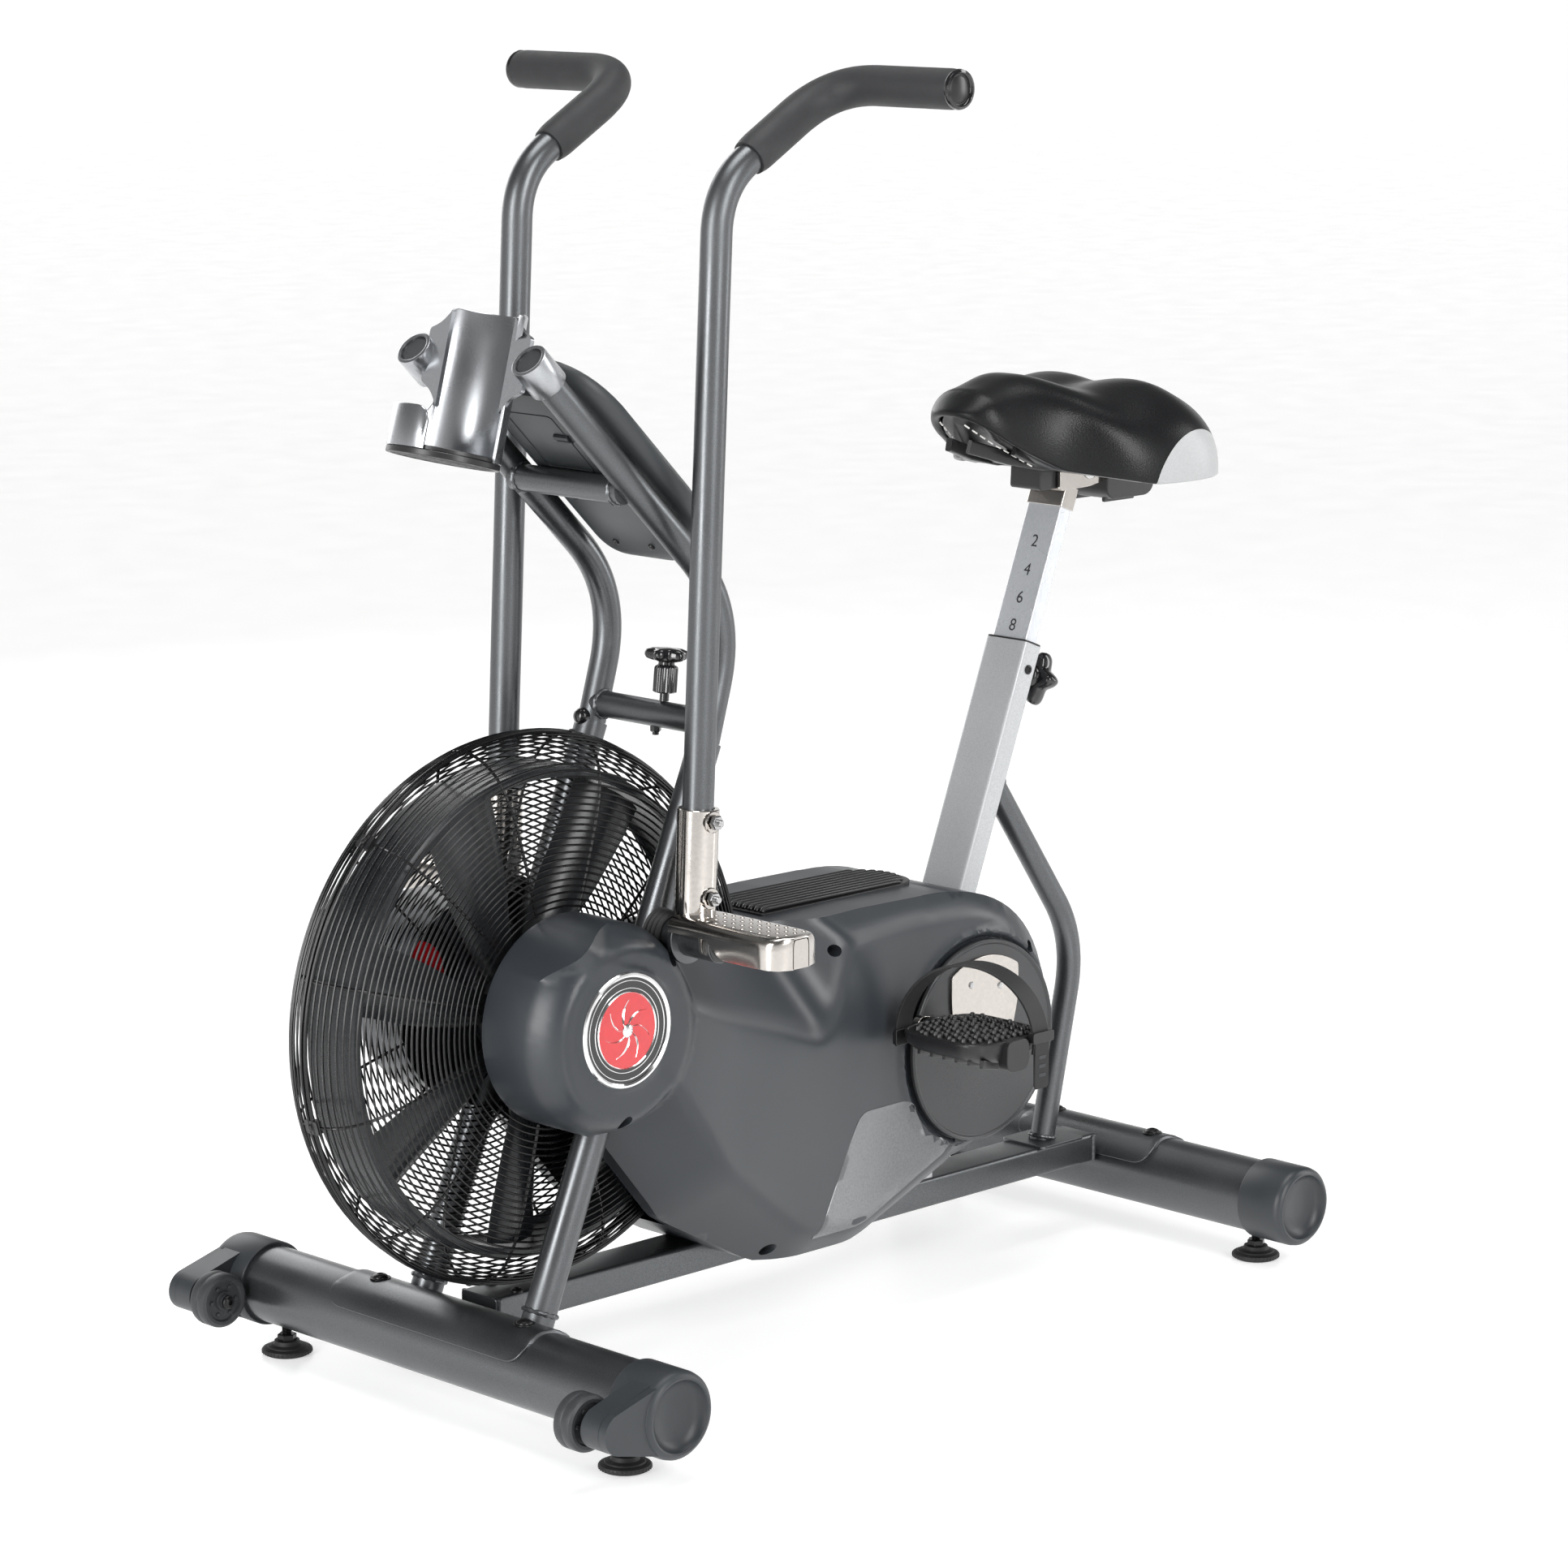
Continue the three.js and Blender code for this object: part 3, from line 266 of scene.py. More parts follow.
def flat_mesh(loops, spacing=6.0, extra=()):
    """Fills an outline, less the holes that follow it, with evenly spread triangles: (points, triangles)."""
    points, edges = [], []
    for loop in loops:
        numbers = list(range(len(points), len(points) + len(loop)))
        points += [Vector(q) for q in loop]
        edges += zip(numbers, numbers[1:] + numbers[:1])
    sides = [(points[i], points[j]) for i, j in edges]

    def cell(q):
        return int(q.x // spacing), int(q.y // spacing)

    near = {}
    for q in points:
        for i in (-1, 0, 1):
            for j in (-1, 0, 1):
                near.setdefault((cell(q)[0] + i, cell(q)[1] + j), []).append(q)
    inner, row = [], 0
    y = min(q.y for q in points) + spacing * 0.5
    top = max(q.y for q in points)
    while y < top:
        places = crossings(sides, y)
        for x0, x1 in zip(places[::2], places[1::2]):
            x = (math.floor(x0 / spacing) + (0.5 if row % 2 else 0)) * spacing
            while x < x1:
                q = Vector((x, y))
                if x > x0 and all((e - q).length > spacing * 0.55 for e in near.get(cell(q), [])):
                    inner.append(q)
                x += spacing
        y += spacing * 0.87
        row += 1
    points += inner + [Vector(q) for q in extra]
    verts, _, tris, *_ = geometry.delaunay_2d_cdt(points, edges, [], 0, 0.01)
    middles = [sum((verts[i] for i in t), Vector((0, 0))) / 3 for t in tris]
    return [tuple(q) for q in verts], [tuple(t) for t, c in zip(tris, middles) if is_inside(c, sides)]


def on_side(a, b, h):
    return a, h, b


def on_top(a, b, h):
    return a, b, h


class Shape:
    """Gathers closed forms in millimetres and makes one Blender object of them."""

    def __init__(self, place=None):
        self.v, self.f, self.m = [], [], []
        self.place = place or Matrix.Identity(4)
        self.paint = 0

    def put(self, verts, faces):
        k = len(self.v)
        self.v += [self.place @ Vector(p) for p in verts]
        self.f += [tuple(i + k for i in face) for face in faces]
        self.m += [self.paint] * len(faces)

    def loft(self, rings, capped=True, closed=False):
        """Joins rings of points, each with the same count. Closed joins the last one to the first too."""
        n = len(rings[0])
        numbers = [range(i * n, i * n + n) for i in range(len(rings))]
        faces = [face for a, b in zip(numbers, numbers[1:] + numbers[:closed]) for face in ribbon(a, b)]
        if capped:
            faces += [tuple(numbers[0]), tuple(numbers[-1])]
        self.put([q for ring in rings for q in ring], faces)

    def lathe(self, profile, at=(0, 0, 0), axis=UP, sides=48, closed=False, turn=0.0):
        """Turns (radius, height) points round an axis. A closed profile makes a hollow ring."""
        u, v, w = basis(axis)
        verts, rings = [], []
        for r, h in profile:
            count = sides if r else 1
            rings.append([len(verts) + i % count for i in range(sides)])
            for a in [TAU * i / sides + turn for i in range(count)]:
                verts.append(Vector(at) + u * (r * math.cos(a)) + v * (r * math.sin(a)) + w * h)
        quads = [face for a, b in zip(rings, rings[1:] + rings[:closed]) for face in ribbon(a, b)]
        faces = [tuple(dict.fromkeys(face)) for face in quads]
        faces += [] if closed else [ring for ring in (rings[0], rings[-1]) if ring[0] != ring[1]]
        self.put(verts, [face for face in faces if len(face) > 2])

    def rod(self, r, h0, h1, at, axis, sides):
        self.lathe([(0, h0), (r, h0), (r, h1), (0, h1)], at, axis, sides)

    def ring(self, at, axis, radius, thick, sides=48, section=8, ripple=0.0):
        """A round bead, such as a weld or a wire hoop."""
        u, v, w = basis(axis)
        rows = []
        for a in [TAU * i / sides for i in range(sides)]:
            t = thick * (1 + ripple * math.sin(a * sides / 4))
            rows.append([Vector(at) + u * (r * math.cos(a)) + v * (r * math.sin(a)) + w * h
                         for r, h in circle(radius, 0, t, section)])
        self.loft(rows, capped=False, closed=True)

    def tube(self, path, radius, sides=32, section=None, up=None, closed=False):
        """A bar along a path, round or of a given section. Its size may change along the path."""
        p = [Vector(q) for q in path]
        n = len(p)
        section = section or circle(0, 0, 1, sides)
        rows, normal = [], None
        for i, q in enumerate(p):
            before, after = (p[i - 1], p[(i + 1) % n]) if closed else (p[max(i - 1, 0)], p[min(i + 1, n - 1)])
            t = (after - before).normalized()
            normal = Vector(up) if up else normal or basis(t)[0]
            normal = (normal - t * t.dot(normal)).normalized()
            side = t.cross(normal)
            r = radius(i / (n - 1)) if callable(radius) else radius
            rows.append([q + normal * (a * r) + side * (b * r) for a, b in section])
        self.loft(rows, not closed, closed)

    def prism(self, outline, h0, h1, to=on_side):
        """An outline raised from h0 to h1. to(a, b, h) gives the point."""
        self.loft([[to(a, b, h) for a, b in outline] for h in (h0, h1)])

    def skin(self, loop, spacing, outer, inner):
        """A thin curved plate: a filled outline put on two surfaces."""
        points, tris = flat_mesh([loop], spacing)
        n, k = len(points), len(loop)
        faces = tris + [tuple(i + n for i in t) for t in tris] + ribbon(range(k), range(n, n + k))
        self.put([to(a, b) for to in (outer, inner) for a, b in points], faces)

    def hex_head(self, at, axis, r):
        head = [(1, 0.8), (0.9, 0.95), (0.55, 0.95), (0, 0.85)]
        self.lathe([(0, 1.6), (r, 1.6)] + [(r * a, r * h) for a, h in head], at, axis, 6)

    def dome_bolt(self, at, axis, r):
        """A round head with a socket."""
        dome = [(r * math.cos(a), r * 0.12 + r * 0.5 * math.sin(a)) for a in (0.3, 0.6, 0.9, 1.12)]
        socket = [(r * 0.34, r * 0.6), (r * 0.32, r * 0.25), (0, r * 0.25)]
        self.lathe([(0, -1), (r, -1), (r, r * 0.12)] + dome + socket, at, axis, 24)

    def screw(self, at, axis, r):
        """A pan head with a cross on it."""
        head = [(1, 0.15), (0.8, 0.42), (0.45, 0.5), (0, 0.5)]
        self.lathe([(0, -1), (r, -1)] + [(r * a, r * h) for a, h in head], at, axis, 20)
        u, v, w = basis(axis)
        for a, b in ((u, v), (v, u)):
            self.loft([[Vector(at) + a * (s * r * 0.5) + b * (t * r * 0.11) + w * (r * h)
                        for s, t in ((-1, -1), (1, -1), (1, 1), (-1, 1))] for h in (0.36, 0.54)])

    def done(self, name, body, mats, slot, node=None, bevel=0.0, segments=2, angle=50, sharp=34, subdivide=0):
        mesh = bpy.data.meshes.new(name)
        mesh.from_pydata([((x + SHIFT) / 1000, y / 1000, z / 1000) for x, y, z in self.v], [], self.f)
        for m in mats:
            mesh.materials.append(m)
        mesh.polygons.foreach_set("material_index", self.m)
        work = bmesh.new()
        work.from_mesh(mesh)
        bmesh.ops.recalc_face_normals(work, faces=work.faces)
        work.to_mesh(mesh)
        work.free()
        mesh.shade_smooth()
        o = bpy.data.objects.new(name, mesh)
        scene.collection.objects.link(o)
        if bevel:
            b = o.modifiers.new("Bevel", "BEVEL")
            b.width, b.segments = bevel / 1000, segments
            b.limit_method, b.angle_limit = "ANGLE", math.radians(angle)
        if subdivide:
            s = o.modifiers.new("Subdivision", "SUBSURF")
            s.levels = s.render_levels = subdivide
        else:
            mesh.set_sharp_from_angle(angle=math.radians(sharp))
        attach(o, body)
        if node:
            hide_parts(node)
        return o

    def form(self, node, body, mats, slot, **look):
        """Makes a piece that stands for the CAD node whose name it bears."""
        return self.done(node + "_form", body, mats, slot, node, **look)


def side_name(s):
    return "left" if s > 0 else "right"


# ------------------------------------------------------------------ base
FRONT_X, FRONT_HALF = 0, 316
REAR_X, REAR_HALF = -934, 278
TUBE_Z, TUBE_R = 67, 38
WHEEL_X, WHEEL_Z = 70, 66


def stabiliser(name, x, half, plate, bolts):
    """A cross tube with a curved plate welded over its middle."""
    bar = Shape()
    bar.tube([(x, 14 - half, TUBE_Z), (x, half - 14, TUBE_Z)], TUBE_R, 72)

    def rolled(r):
        return lambda a, y: (x + r * math.sin(a / 40), y, TUBE_Z + r * math.cos(a / 40))

    bar.skin(rect(-47, -plate, 47, plate, 22, 8), 7, rolled(41), rolled(37.5))
    bar.paint = 1
    for y in bolts:
        bar.dome_bolt((x, y, 107.6), UP, 8)
        bar.rod(10.5, 0, 1.4, (x, y, 107.2), UP, 28)
    bar.form(name, "frame", [PAINT, DARK_BOLT], "frame_paint", bevel=0.8)


def end_cap(name, x, half, s, bracket):
    """A cap over a tube's end. The front ones carry a bracket and shaft for the transport wheel."""
    end = half + 4.3
    cap = Shape()
    rim = [(38.2, half - 51.7), (41.2, half - 52.2), (42, half - 50.5)]
    dish = [(42, 9), (41, 4), (38.5, 1.2), (36, 0.2), (34.2, 0.8), (33, 3), (30.5, 7), (24, 10),
            (12, 11.6), (0, 12), (0, 15), (38.2, 15)]
    cap.lathe(rim + [(r, end - depth) for r, depth in dish], (x, 0, TUBE_Z), (0, s, 0), 72)
    if bracket:
        hub, tip = (x, TUBE_Z, 39), (WHEEL_X, WHEEL_Z, 20)
        low, high = tangent_angles(hub, tip)
        cap.prism(link_outline(hub, tip, 30, 18), s * (end - 37), s * (end - 13))
        cheek = arc(*tip, low, high, 18) + arc(x, TUBE_Z, 37.5, high, low, 30)
        cap.prism(cheek, s * (end - 14), s * (end - 4))
        cap.rod(6.5, 0, 24, (WHEEL_X, s * 250, WHEEL_Z), (0, s, 0), 20)
        cap.paint = 1
        cap.dome_bolt((WHEEL_X, s * 248, WHEEL_Z), (0, -s, 0), 7)
    cap.form(name, "frame", [CAP, DARK_BOLT], "cap_plastic", bevel=3.0 if bracket else 0.0, segments=4)


def foot(name, x, y):
    """A ribbed rubber foot with its nut and a stretch of thread."""
    pad = Shape()
    pad.lathe([(0, 0), (22, 0), (23.6, 0.9), (24.6, 2.2), (24.8, 4), (24, 5.6), (22, 6.4), (19.5, 6.9),
             (18.6, 8.2), (14, 9.6), (13, 11.2), (12.4, 13.4), (0, 13.4)], (x, y, 0))
    for rib_x, rib_y in circle(x, y, 24.3, 36):
        pad.lathe([(0, 1.4), (0.9, 1.5), (0.9, 4.6), (0, 4.9)], (rib_x, rib_y, 0), UP, 6)
    pad.paint = 1
    pad.lathe([(0, 13), (9.5, 13), (9.5, 19.2), (8.4, 20), (0, 20)], (x, y, 0), UP, 6)
    thread = [(r, h + i * 1.5) for i in range(7) for r, h in ((5.0, 19.6), (4.3, 20.3))]
    pad.lathe([(0, 19)] + thread + [(0, 30.2)], (x, y, 0), UP, 24)
    pad.form(name, "frame", [RUBBER, DARK_BOLT], "black_plastic")


def wheel(name, s, body):
    tyre = Shape()
    half = [(5.4, 12), (9.5, 12), (10, 9), (19, 9), (20.5, 11.6), (23.5, 11.8), (26.2, 10), (27, 7.6),
            (27, 1.6)]
    stud = [(0, -1), (2.2, -1), (2.2, 1.2), (1.6, 1.8), (0, 1.8)]
    tyre.lathe(mirrored(half, [(26.3, 0)]), (WHEEL_X, s * 264, WHEEL_Z), (0, s, 0), 64, closed=True)
    for side in (-1, 1):
        for x, z in circle(WHEEL_X, WHEEL_Z, 14.6, 6):
            tyre.lathe(stud, (x, s * 264 + side * 9, z), (0, side, 0), 14)
    tyre.form(name, body, [WHEEL_RUBBER], "rubber")


stabiliser("front_stabiliser", FRONT_X, FRONT_HALF, 140, (-100, 108))
stabiliser("rear_stabiliser", REAR_X, REAR_HALF, 95, (-66, 72))
for s in (1, -1):
    end_cap("front_cap_" + side_name(s), FRONT_X, FRONT_HALF, s, True)
    end_cap("rear_cap_" + side_name(s), REAR_X, REAR_HALF, s, False)
    foot("front_foot_" + side_name(s), FRONT_X, 245 * s)
    foot("rear_foot_" + side_name(s), REAR_X, 218 * s)
    wheel("transport_wheel_" + side_name(s), s, "wheel_" + side_name(s))

beam = Shape()
beam.tube([(-895, 0, 90), (-38, 0, 90)], 1, section=bar_section(25, 15, 4, 4), up=ACROSS)
beam.prism(rect(-872, -30, -806, 30, 6), 104.5, 107.5, on_top)
beam.paint = 1
for s in (1, -1):
    for x in (-42, -892):
        beam.tube([(x, s * 25, 76), (x, s * 25, 104)], lambda t: 2.3 + 0.5 * math.sin(t * 40), 10)
beam.paint = 2
for y in (-19, 19):
    beam.dome_bolt((-70, y, 105), UP, 6)
beam.form("base_beam", "frame", [PAINT, WELD, DARK_BOLT], "frame_paint", bevel=0.6)


# ------------------------------------------------------------------ frame tubes
FORK_Y = 80
MAST_TOP = Vector((-43, 0, 1002))
CROSS_R = 13


def fork_at(z):
    """The fork's X at a height: it leans from -38 at 86 up to -262 at 620."""
    return -38 + (z - 86) * (-262 + 38) / (620 - 86)


def fork(s):
    tube = Shape()
    tube.tube([(fork_at(z), FORK_Y * s, z) for z in (72, 240, 380, 520, 622)], 16, 40)
    tube.prism(filleted([(-128, 340), (-78, 352), (-74, 400), (-124, 412)], 14), s * 72, s * 78)
    tube.paint = 1
    slope = (fork_at(622) - fork_at(100), 0, 522)
    tube.ring((fork_at(102), FORK_Y * s, 102.5), slope, 16.2, 2.2, ripple=0.22)
    tube.form("fork_" + side_name(s), "frame", [PAINT, WELD], "frame_paint")


def mast(s):
    tube = Shape()
    top = MAST_TOP + Vector((0, FORK_Y * s, 0))
    tube.tube(eased([top, (-300, FORK_Y * s, 748), (-263, FORK_Y * s, 622)], 76), 14, 40)
    tube.form("mast_" + side_name(s), "frame", [PAINT], "frame_paint")


def mast_cross(node, x, z, lower):
    """A tube between the two masts. The lower one has plugs over the fork ends and the knob's bolt."""
    tube = Shape()
    tube.tube([(x, -76, z), (x, 76, z)], CROSS_R, 36)
    tube.paint = 1
    for s in (1, -1):
        tube.ring((x, 66.5 * s, z), ACROSS, CROSS_R + 0.4, 1.9, ripple=0.25)
    tube.paint = 2
    if lower:
        plug = [(0, -2), (8.5, -2), (8.8, 3), (7.6, 6.5), (4.6, 8.8), (0, 9.6)]
        for s in (1, -1):
            tube.lathe(plug, (-252, FORK_Y * s, 628), (1, 0, 0.1), 28)
        bolt = [(0, 0), (5.5, 0), (5.5, 5), (4.6, 6), (3.4, 6), (3.4, 9), (0, 9.5)]
        tube.lathe(bolt, (x, 6, z - 12), (0, 0, -1), 6)
    tube.form(node, "frame", [PAINT, WELD, GLOSS_BLACK], "frame_paint")


for s in (1, -1):
    fork(s)
    mast(s)
mast_cross("mast_cross_lower", -268, 640, True)
mast_cross("mast_cross_upper", -164, 872, False)

brace = Shape()
brace.tube(eased([(-740, 0, 524), (-886, 0, 318), (-836, 0, 100)], 56), 13, 36)
brace.paint = 1
brace.ring((-837.5, 0, 109), (-50, 0, 218), 13.2, 2.0, 44, ripple=0.25)
brace.ring((-755, 0, 503), (146, 0, 206), 13.2, 2.2, 44, ripple=0.25)
brace.form("seat_brace", "frame", [PAINT, WELD], "frame_paint")


# ------------------------------------------------------------------ fan and cage
FX, FZ = -96, 376
HUB = (FX, 0, FZ)
CAGE_POINTS = [(104, 55.2), (150, 56.4), (196, 55.6), (222, 52), (243, 44), (257, 31), (264, 17),
               (266.5, 3.4)]
HOOPS, STAYS, CLIPS, BLADES = 29, 12, 6, 7
ROOT, TIP, BLADE_Y = 44, 226, 31.5


def cage_line(t):
    """The basket's section as a smooth line, from the boss at t = 0 to the rim at 1: (radius, Y)."""
    last = len(CAGE_POINTS) - 1
    i = min(int(t * last), last - 1)
    before, a, b, after = (Vector(CAGE_POINTS[min(max(k, 0), last)]) for k in (i - 1, i, i + 1, i + 2))
    f = t * last - i
    return (a * (2 * f ** 3 - 3 * f ** 2 + 1) + (b - before) / 2 * (f ** 3 - 2 * f ** 2 + f)
            + b * (3 * f ** 2 - 2 * f ** 3) + (after - a) / 2 * (f ** 3 - f ** 2))


def even_places(n):
    """Places along the basket's section, evenly spaced by length."""
    fine = [cage_line(0.96 * i / 400) for i in range(401)]
    lengths = [0.0]
    for a, b in zip(fine, fine[1:]):
        lengths.append(lengths[-1] + (b - a).length)
    goals = [lengths[-1] * (k + 0.4) / n for k in range(n)]
    return [fine[next(j for j, length in enumerate(lengths) if length >= goal)] for goal in goals]


def fan_cage(s):
    """One half of the wire basket: hoops, a thick rim and stays. The left half has the rim clips."""
    cage = Shape()
    for r, y in even_places(HOOPS):
        cage.ring((FX, s * y, FZ), ACROSS, r, 1.1, 120, 6)
    cage.ring((FX, s * 2.6, FZ), ACROSS, 266.3, 2.0, 120)
    for i in range(STAYS):
        a = TAU * (i + 0.5) / STAYS
        path = [(FX + (r - 0.6) * math.cos(a), s * (y - 1.7), FZ + (r - 0.6) * math.sin(a))
                for r, y in (cage_line(k / 24) for k in range(25))]
        cage.tube(path, 1.5, 8)
    cage.paint = 1
    for i in range(CLIPS if s > 0 else 0):
        a = TAU * (i + 0.5) / CLIPS + TAU / 24
        c, n = math.cos(a), math.sin(a)
        cage.place = Matrix(((n, 0, c, FX + 262 * c), (0, 1, 0, 0), (-c, 0, n, FZ + 262 * n), (0, 0, 0, 1)))
        cage.prism(rect(-7, -9, 7, 9, 3), 0, 5.6, on_top)
        cage.screw((0, -1, 6.2), UP, 3.2)
    cage.form("fan_cage_" + side_name(s), "frame", [WIRE, BLACK], "cage_wire")


def blade_rows(start):
    """Sections of one blade from the hub to the drum: cambered, pitched and swept."""
    rows = []
    for t in [k / 16 for k in range(17)]:
        radius = ROOT + (TIP - ROOT) * t
        chord = 36 + 30 * min(1.0, (radius - 44) / 86) + 14 * max(0.0, (radius - 130) / 96)
        pitch = math.radians(34 - 14 * t)
        sweep = 0.10 + 0.42 * t - 0.22 * t * t
        upper, lower = [], []
        for u in [j / 10 - 0.5 for j in range(11)]:
            camber = 9.5 * (1 - 4 * u * u) * (0.6 + 0.4 * t)
            edge = 1.5 * math.sqrt(max(0.0, 1 - 4 * u * u)) + 0.35
            for row, h in ((upper, camber + edge), (lower, camber - edge)):
                y = u * chord * math.sin(pitch) * 0.62 + h * math.cos(pitch)
                b = start + sweep + (u * chord * math.cos(pitch) - h * math.sin(pitch) * 0.6) / radius
                y = max(-BLADE_Y, min(BLADE_Y, y))
                row.append((FX + radius * math.cos(b), y, FZ + radius * math.sin(b)))
        rows.append(upper + lower[::-1])
    return rows


for s in (1, -1):
    fan_cage(s)

drum = Shape()
drum.lathe([(226, -33.5), (232, -34), (236, -31), (236, 31), (232, 34), (226, 33.5), (228, 29), (230, 20),
            (228.6, 0), (230, -20), (228, -29)], HUB, ACROSS, 128, closed=True)
for y in (-24, -12, 0, 12, 24):
    drum.ring((FX, y, FZ), ACROSS, 235.6, 1.1, 128, 6)
drum.form("fan_rim", "fan", [FAN], "fan_plastic", bevel=0.6, angle=40)

rotor = Shape()
rotor.lathe(mirrored([(8.6, 30), (22, 30), (27, 28), (34, 20), (48, 15), (50, 12)]), HUB, ACROSS, 64,
            closed=True)
for i in range(BLADES):
    rotor.loft(blade_rows(TAU * i / BLADES))
rotor.form("fan_wheel", "fan", [FAN], "fan_plastic", sharp=50)

axle = Shape()
axle.lathe(mirrored([(0, 79), (7.4, 79), (8, 78)]), HUB, ACROSS, 32)
axle.lathe([(8, -62.7), (16.6, -62.7), (17, -62.3), (17, -59.7), (16.6, -59.3), (8, -59.3)], HUB, ACROSS, 40)
axle.form("fan_axle", "fan", [BOLT], "chrome")


# ------------------------------------------------------------------ covers
CX, CZ = -622, 272
BADGE_X, BADGE_Z = -92, 381
PIVOT_X, PIVOT_Z = -182, 453
PIVOT = (PIVOT_X, 0, PIVOT_Z)
LEAN_X, LEAN_Z = 0.3635, 0.9316
SEAT_X, SEAT_Z = -786, 650
BLEND = 9
WELLS = [(-158, 437, 6.5), (-96, 290, 7.0), (-418, 396, 6.0), (-336, 106, 7.0), (-699, 356, 6.0)]
WELL_SIDES = 18
CAGE_GAP = 272
INNER_LOW, CAGE_LOW, PIVOT_LOW, SEAT_LOW = 0.4, 59.0, 102.0, 29.5


def soft_min(a, b, k):
    h = max(0.0, k - abs(a - b)) / k
    return min(a, b) - h * h * k * 0.25


def soft_max(a, b, k):
    return -soft_min(-a, -b, k)


def step_down(value, middle, width):
    """1 well below the middle, falling smoothly to 0 above it."""
    return 0.5 - 0.5 * math.tanh((value - middle) / (2 * width))


def cover_height(x, z):
    """How far the cover stands out sideways at a point of its outline."""
    def off(a, b):
        """Distance from the line through a and b, positive toward the cover's middle."""
        dx, dz = b[0] - a[0], b[1] - a[1]
        return ((x - a[0]) * dz - (z - a[1]) * dx) / math.hypot(dx, dz)

    body = soft_max(106.0, soft_min(150.0, 108 + 48 * (x + 400) / 238, 12), 26)
    pinch = 108 + 0.75 * off((-436, 420), (-392, 300))
    top = soft_max(511.5 + 0.4336 * x - 0.728 * z, pinch, 34)
    shoulder = 86 + (430 - z) * 0.92 + 0.4 * max(0.0, x + 330)
    low_front = 78 + 1.125 * off((-128, 250), (-206, 160))
    lower = 74 + 1.1 * off((-206, 160), (-330, 92))
    below = 92 + 0.95 * (z - 92)
    lower_rear = 92 + 0.95 * off((-452, 92), (-596, 150))
    for face in (top, shoulder, low_front, lower, below, lower_rear):
        body = soft_min(body, face, BLEND)
    if x < -430:
        body = soft_min(body, 90 + 0.95 * min(math.dist((x, z), q) for q in REAR_EDGE), BLEND)
    r = math.hypot(x - FX, z - FZ)
    if r < 108:
        body = soft_max(body, 150 - 34 * max(0.0, (r - 76) / 25.5) ** 2.2, 7)
    ring = math.hypot(x - CX, z - CZ)
    body += 2.6 * math.exp(-((ring - 111.5) / 3.2) ** 2)
    if ring < 107:
        body -= min(3.5, (107 - ring) * 1.6)
    body += 1.5 * step_down(math.hypot(x - BADGE_X, z - BADGE_Z), 59.5, 0.6)
    return min(body, 151.6)


def cover_outline():
    """The side outline: round the fan boss, back over the top, down the tail and forward underneath."""
    loop = arc(FX, FZ, 101.5, math.radians(-72), math.radians(142), 64)
    loop += arc(PIVOT_X, PIVOT_Z, 25, math.radians(-8), math.radians(-152), 12)
    loop += [(-250, 413), (-310, 420), (-372, 427), (-470, 429), (-560, 428)]
    for a, b, c, n in (((-560, 428), (-700, 428), (-732, 330), 14),
                       ((-732, 330), (-748, 270), (-728, 204), 10),
                       ((-728, 204), (-700, 158), (-640, 152), 8)):
        loop += [tuple(q) for q in curve(Vector(a), Vector(b), Vector(c), n)[1:]]
    loop += [(-600, 150), (-588, 146), (-468, 98), (-452, 93), (-440, 92), (-346, 92), (-330, 93), (-318, 98)]
    loop += [(-220, 151), (-206, 160), (-198, 168), (-132, 246), (-118, 258)]
    out = []
    for q, after in zip(loop, loop[1:] + loop[:1]):
        way = Vector(after) - Vector(q)
        steps = max(1, int(way.length / 6))
        out += [tuple(Vector(q) + way * (k / steps)) for k in range(steps)]
    return out


OUTLINE = cover_outline()
REAR_EDGE = [q for q in OUTLINE if q[0] < -556 and 148 < q[1] < 432]


def wall_foot(x, z):
    """How close to the middle plane the cover's edge wall reaches at a point of the outline."""
    if math.dist((x, z), (PIVOT_X, PIVOT_Z)) < 48:
        return PIVOT_LOW
    if z > 300 and abs((x - SEAT_X) * LEAN_Z + (z - SEAT_Z) * LEAN_X) < 16:
        return SEAT_LOW
    return CAGE_LOW if math.dist((x, z), (FX, FZ)) < CAGE_GAP else INNER_LOW


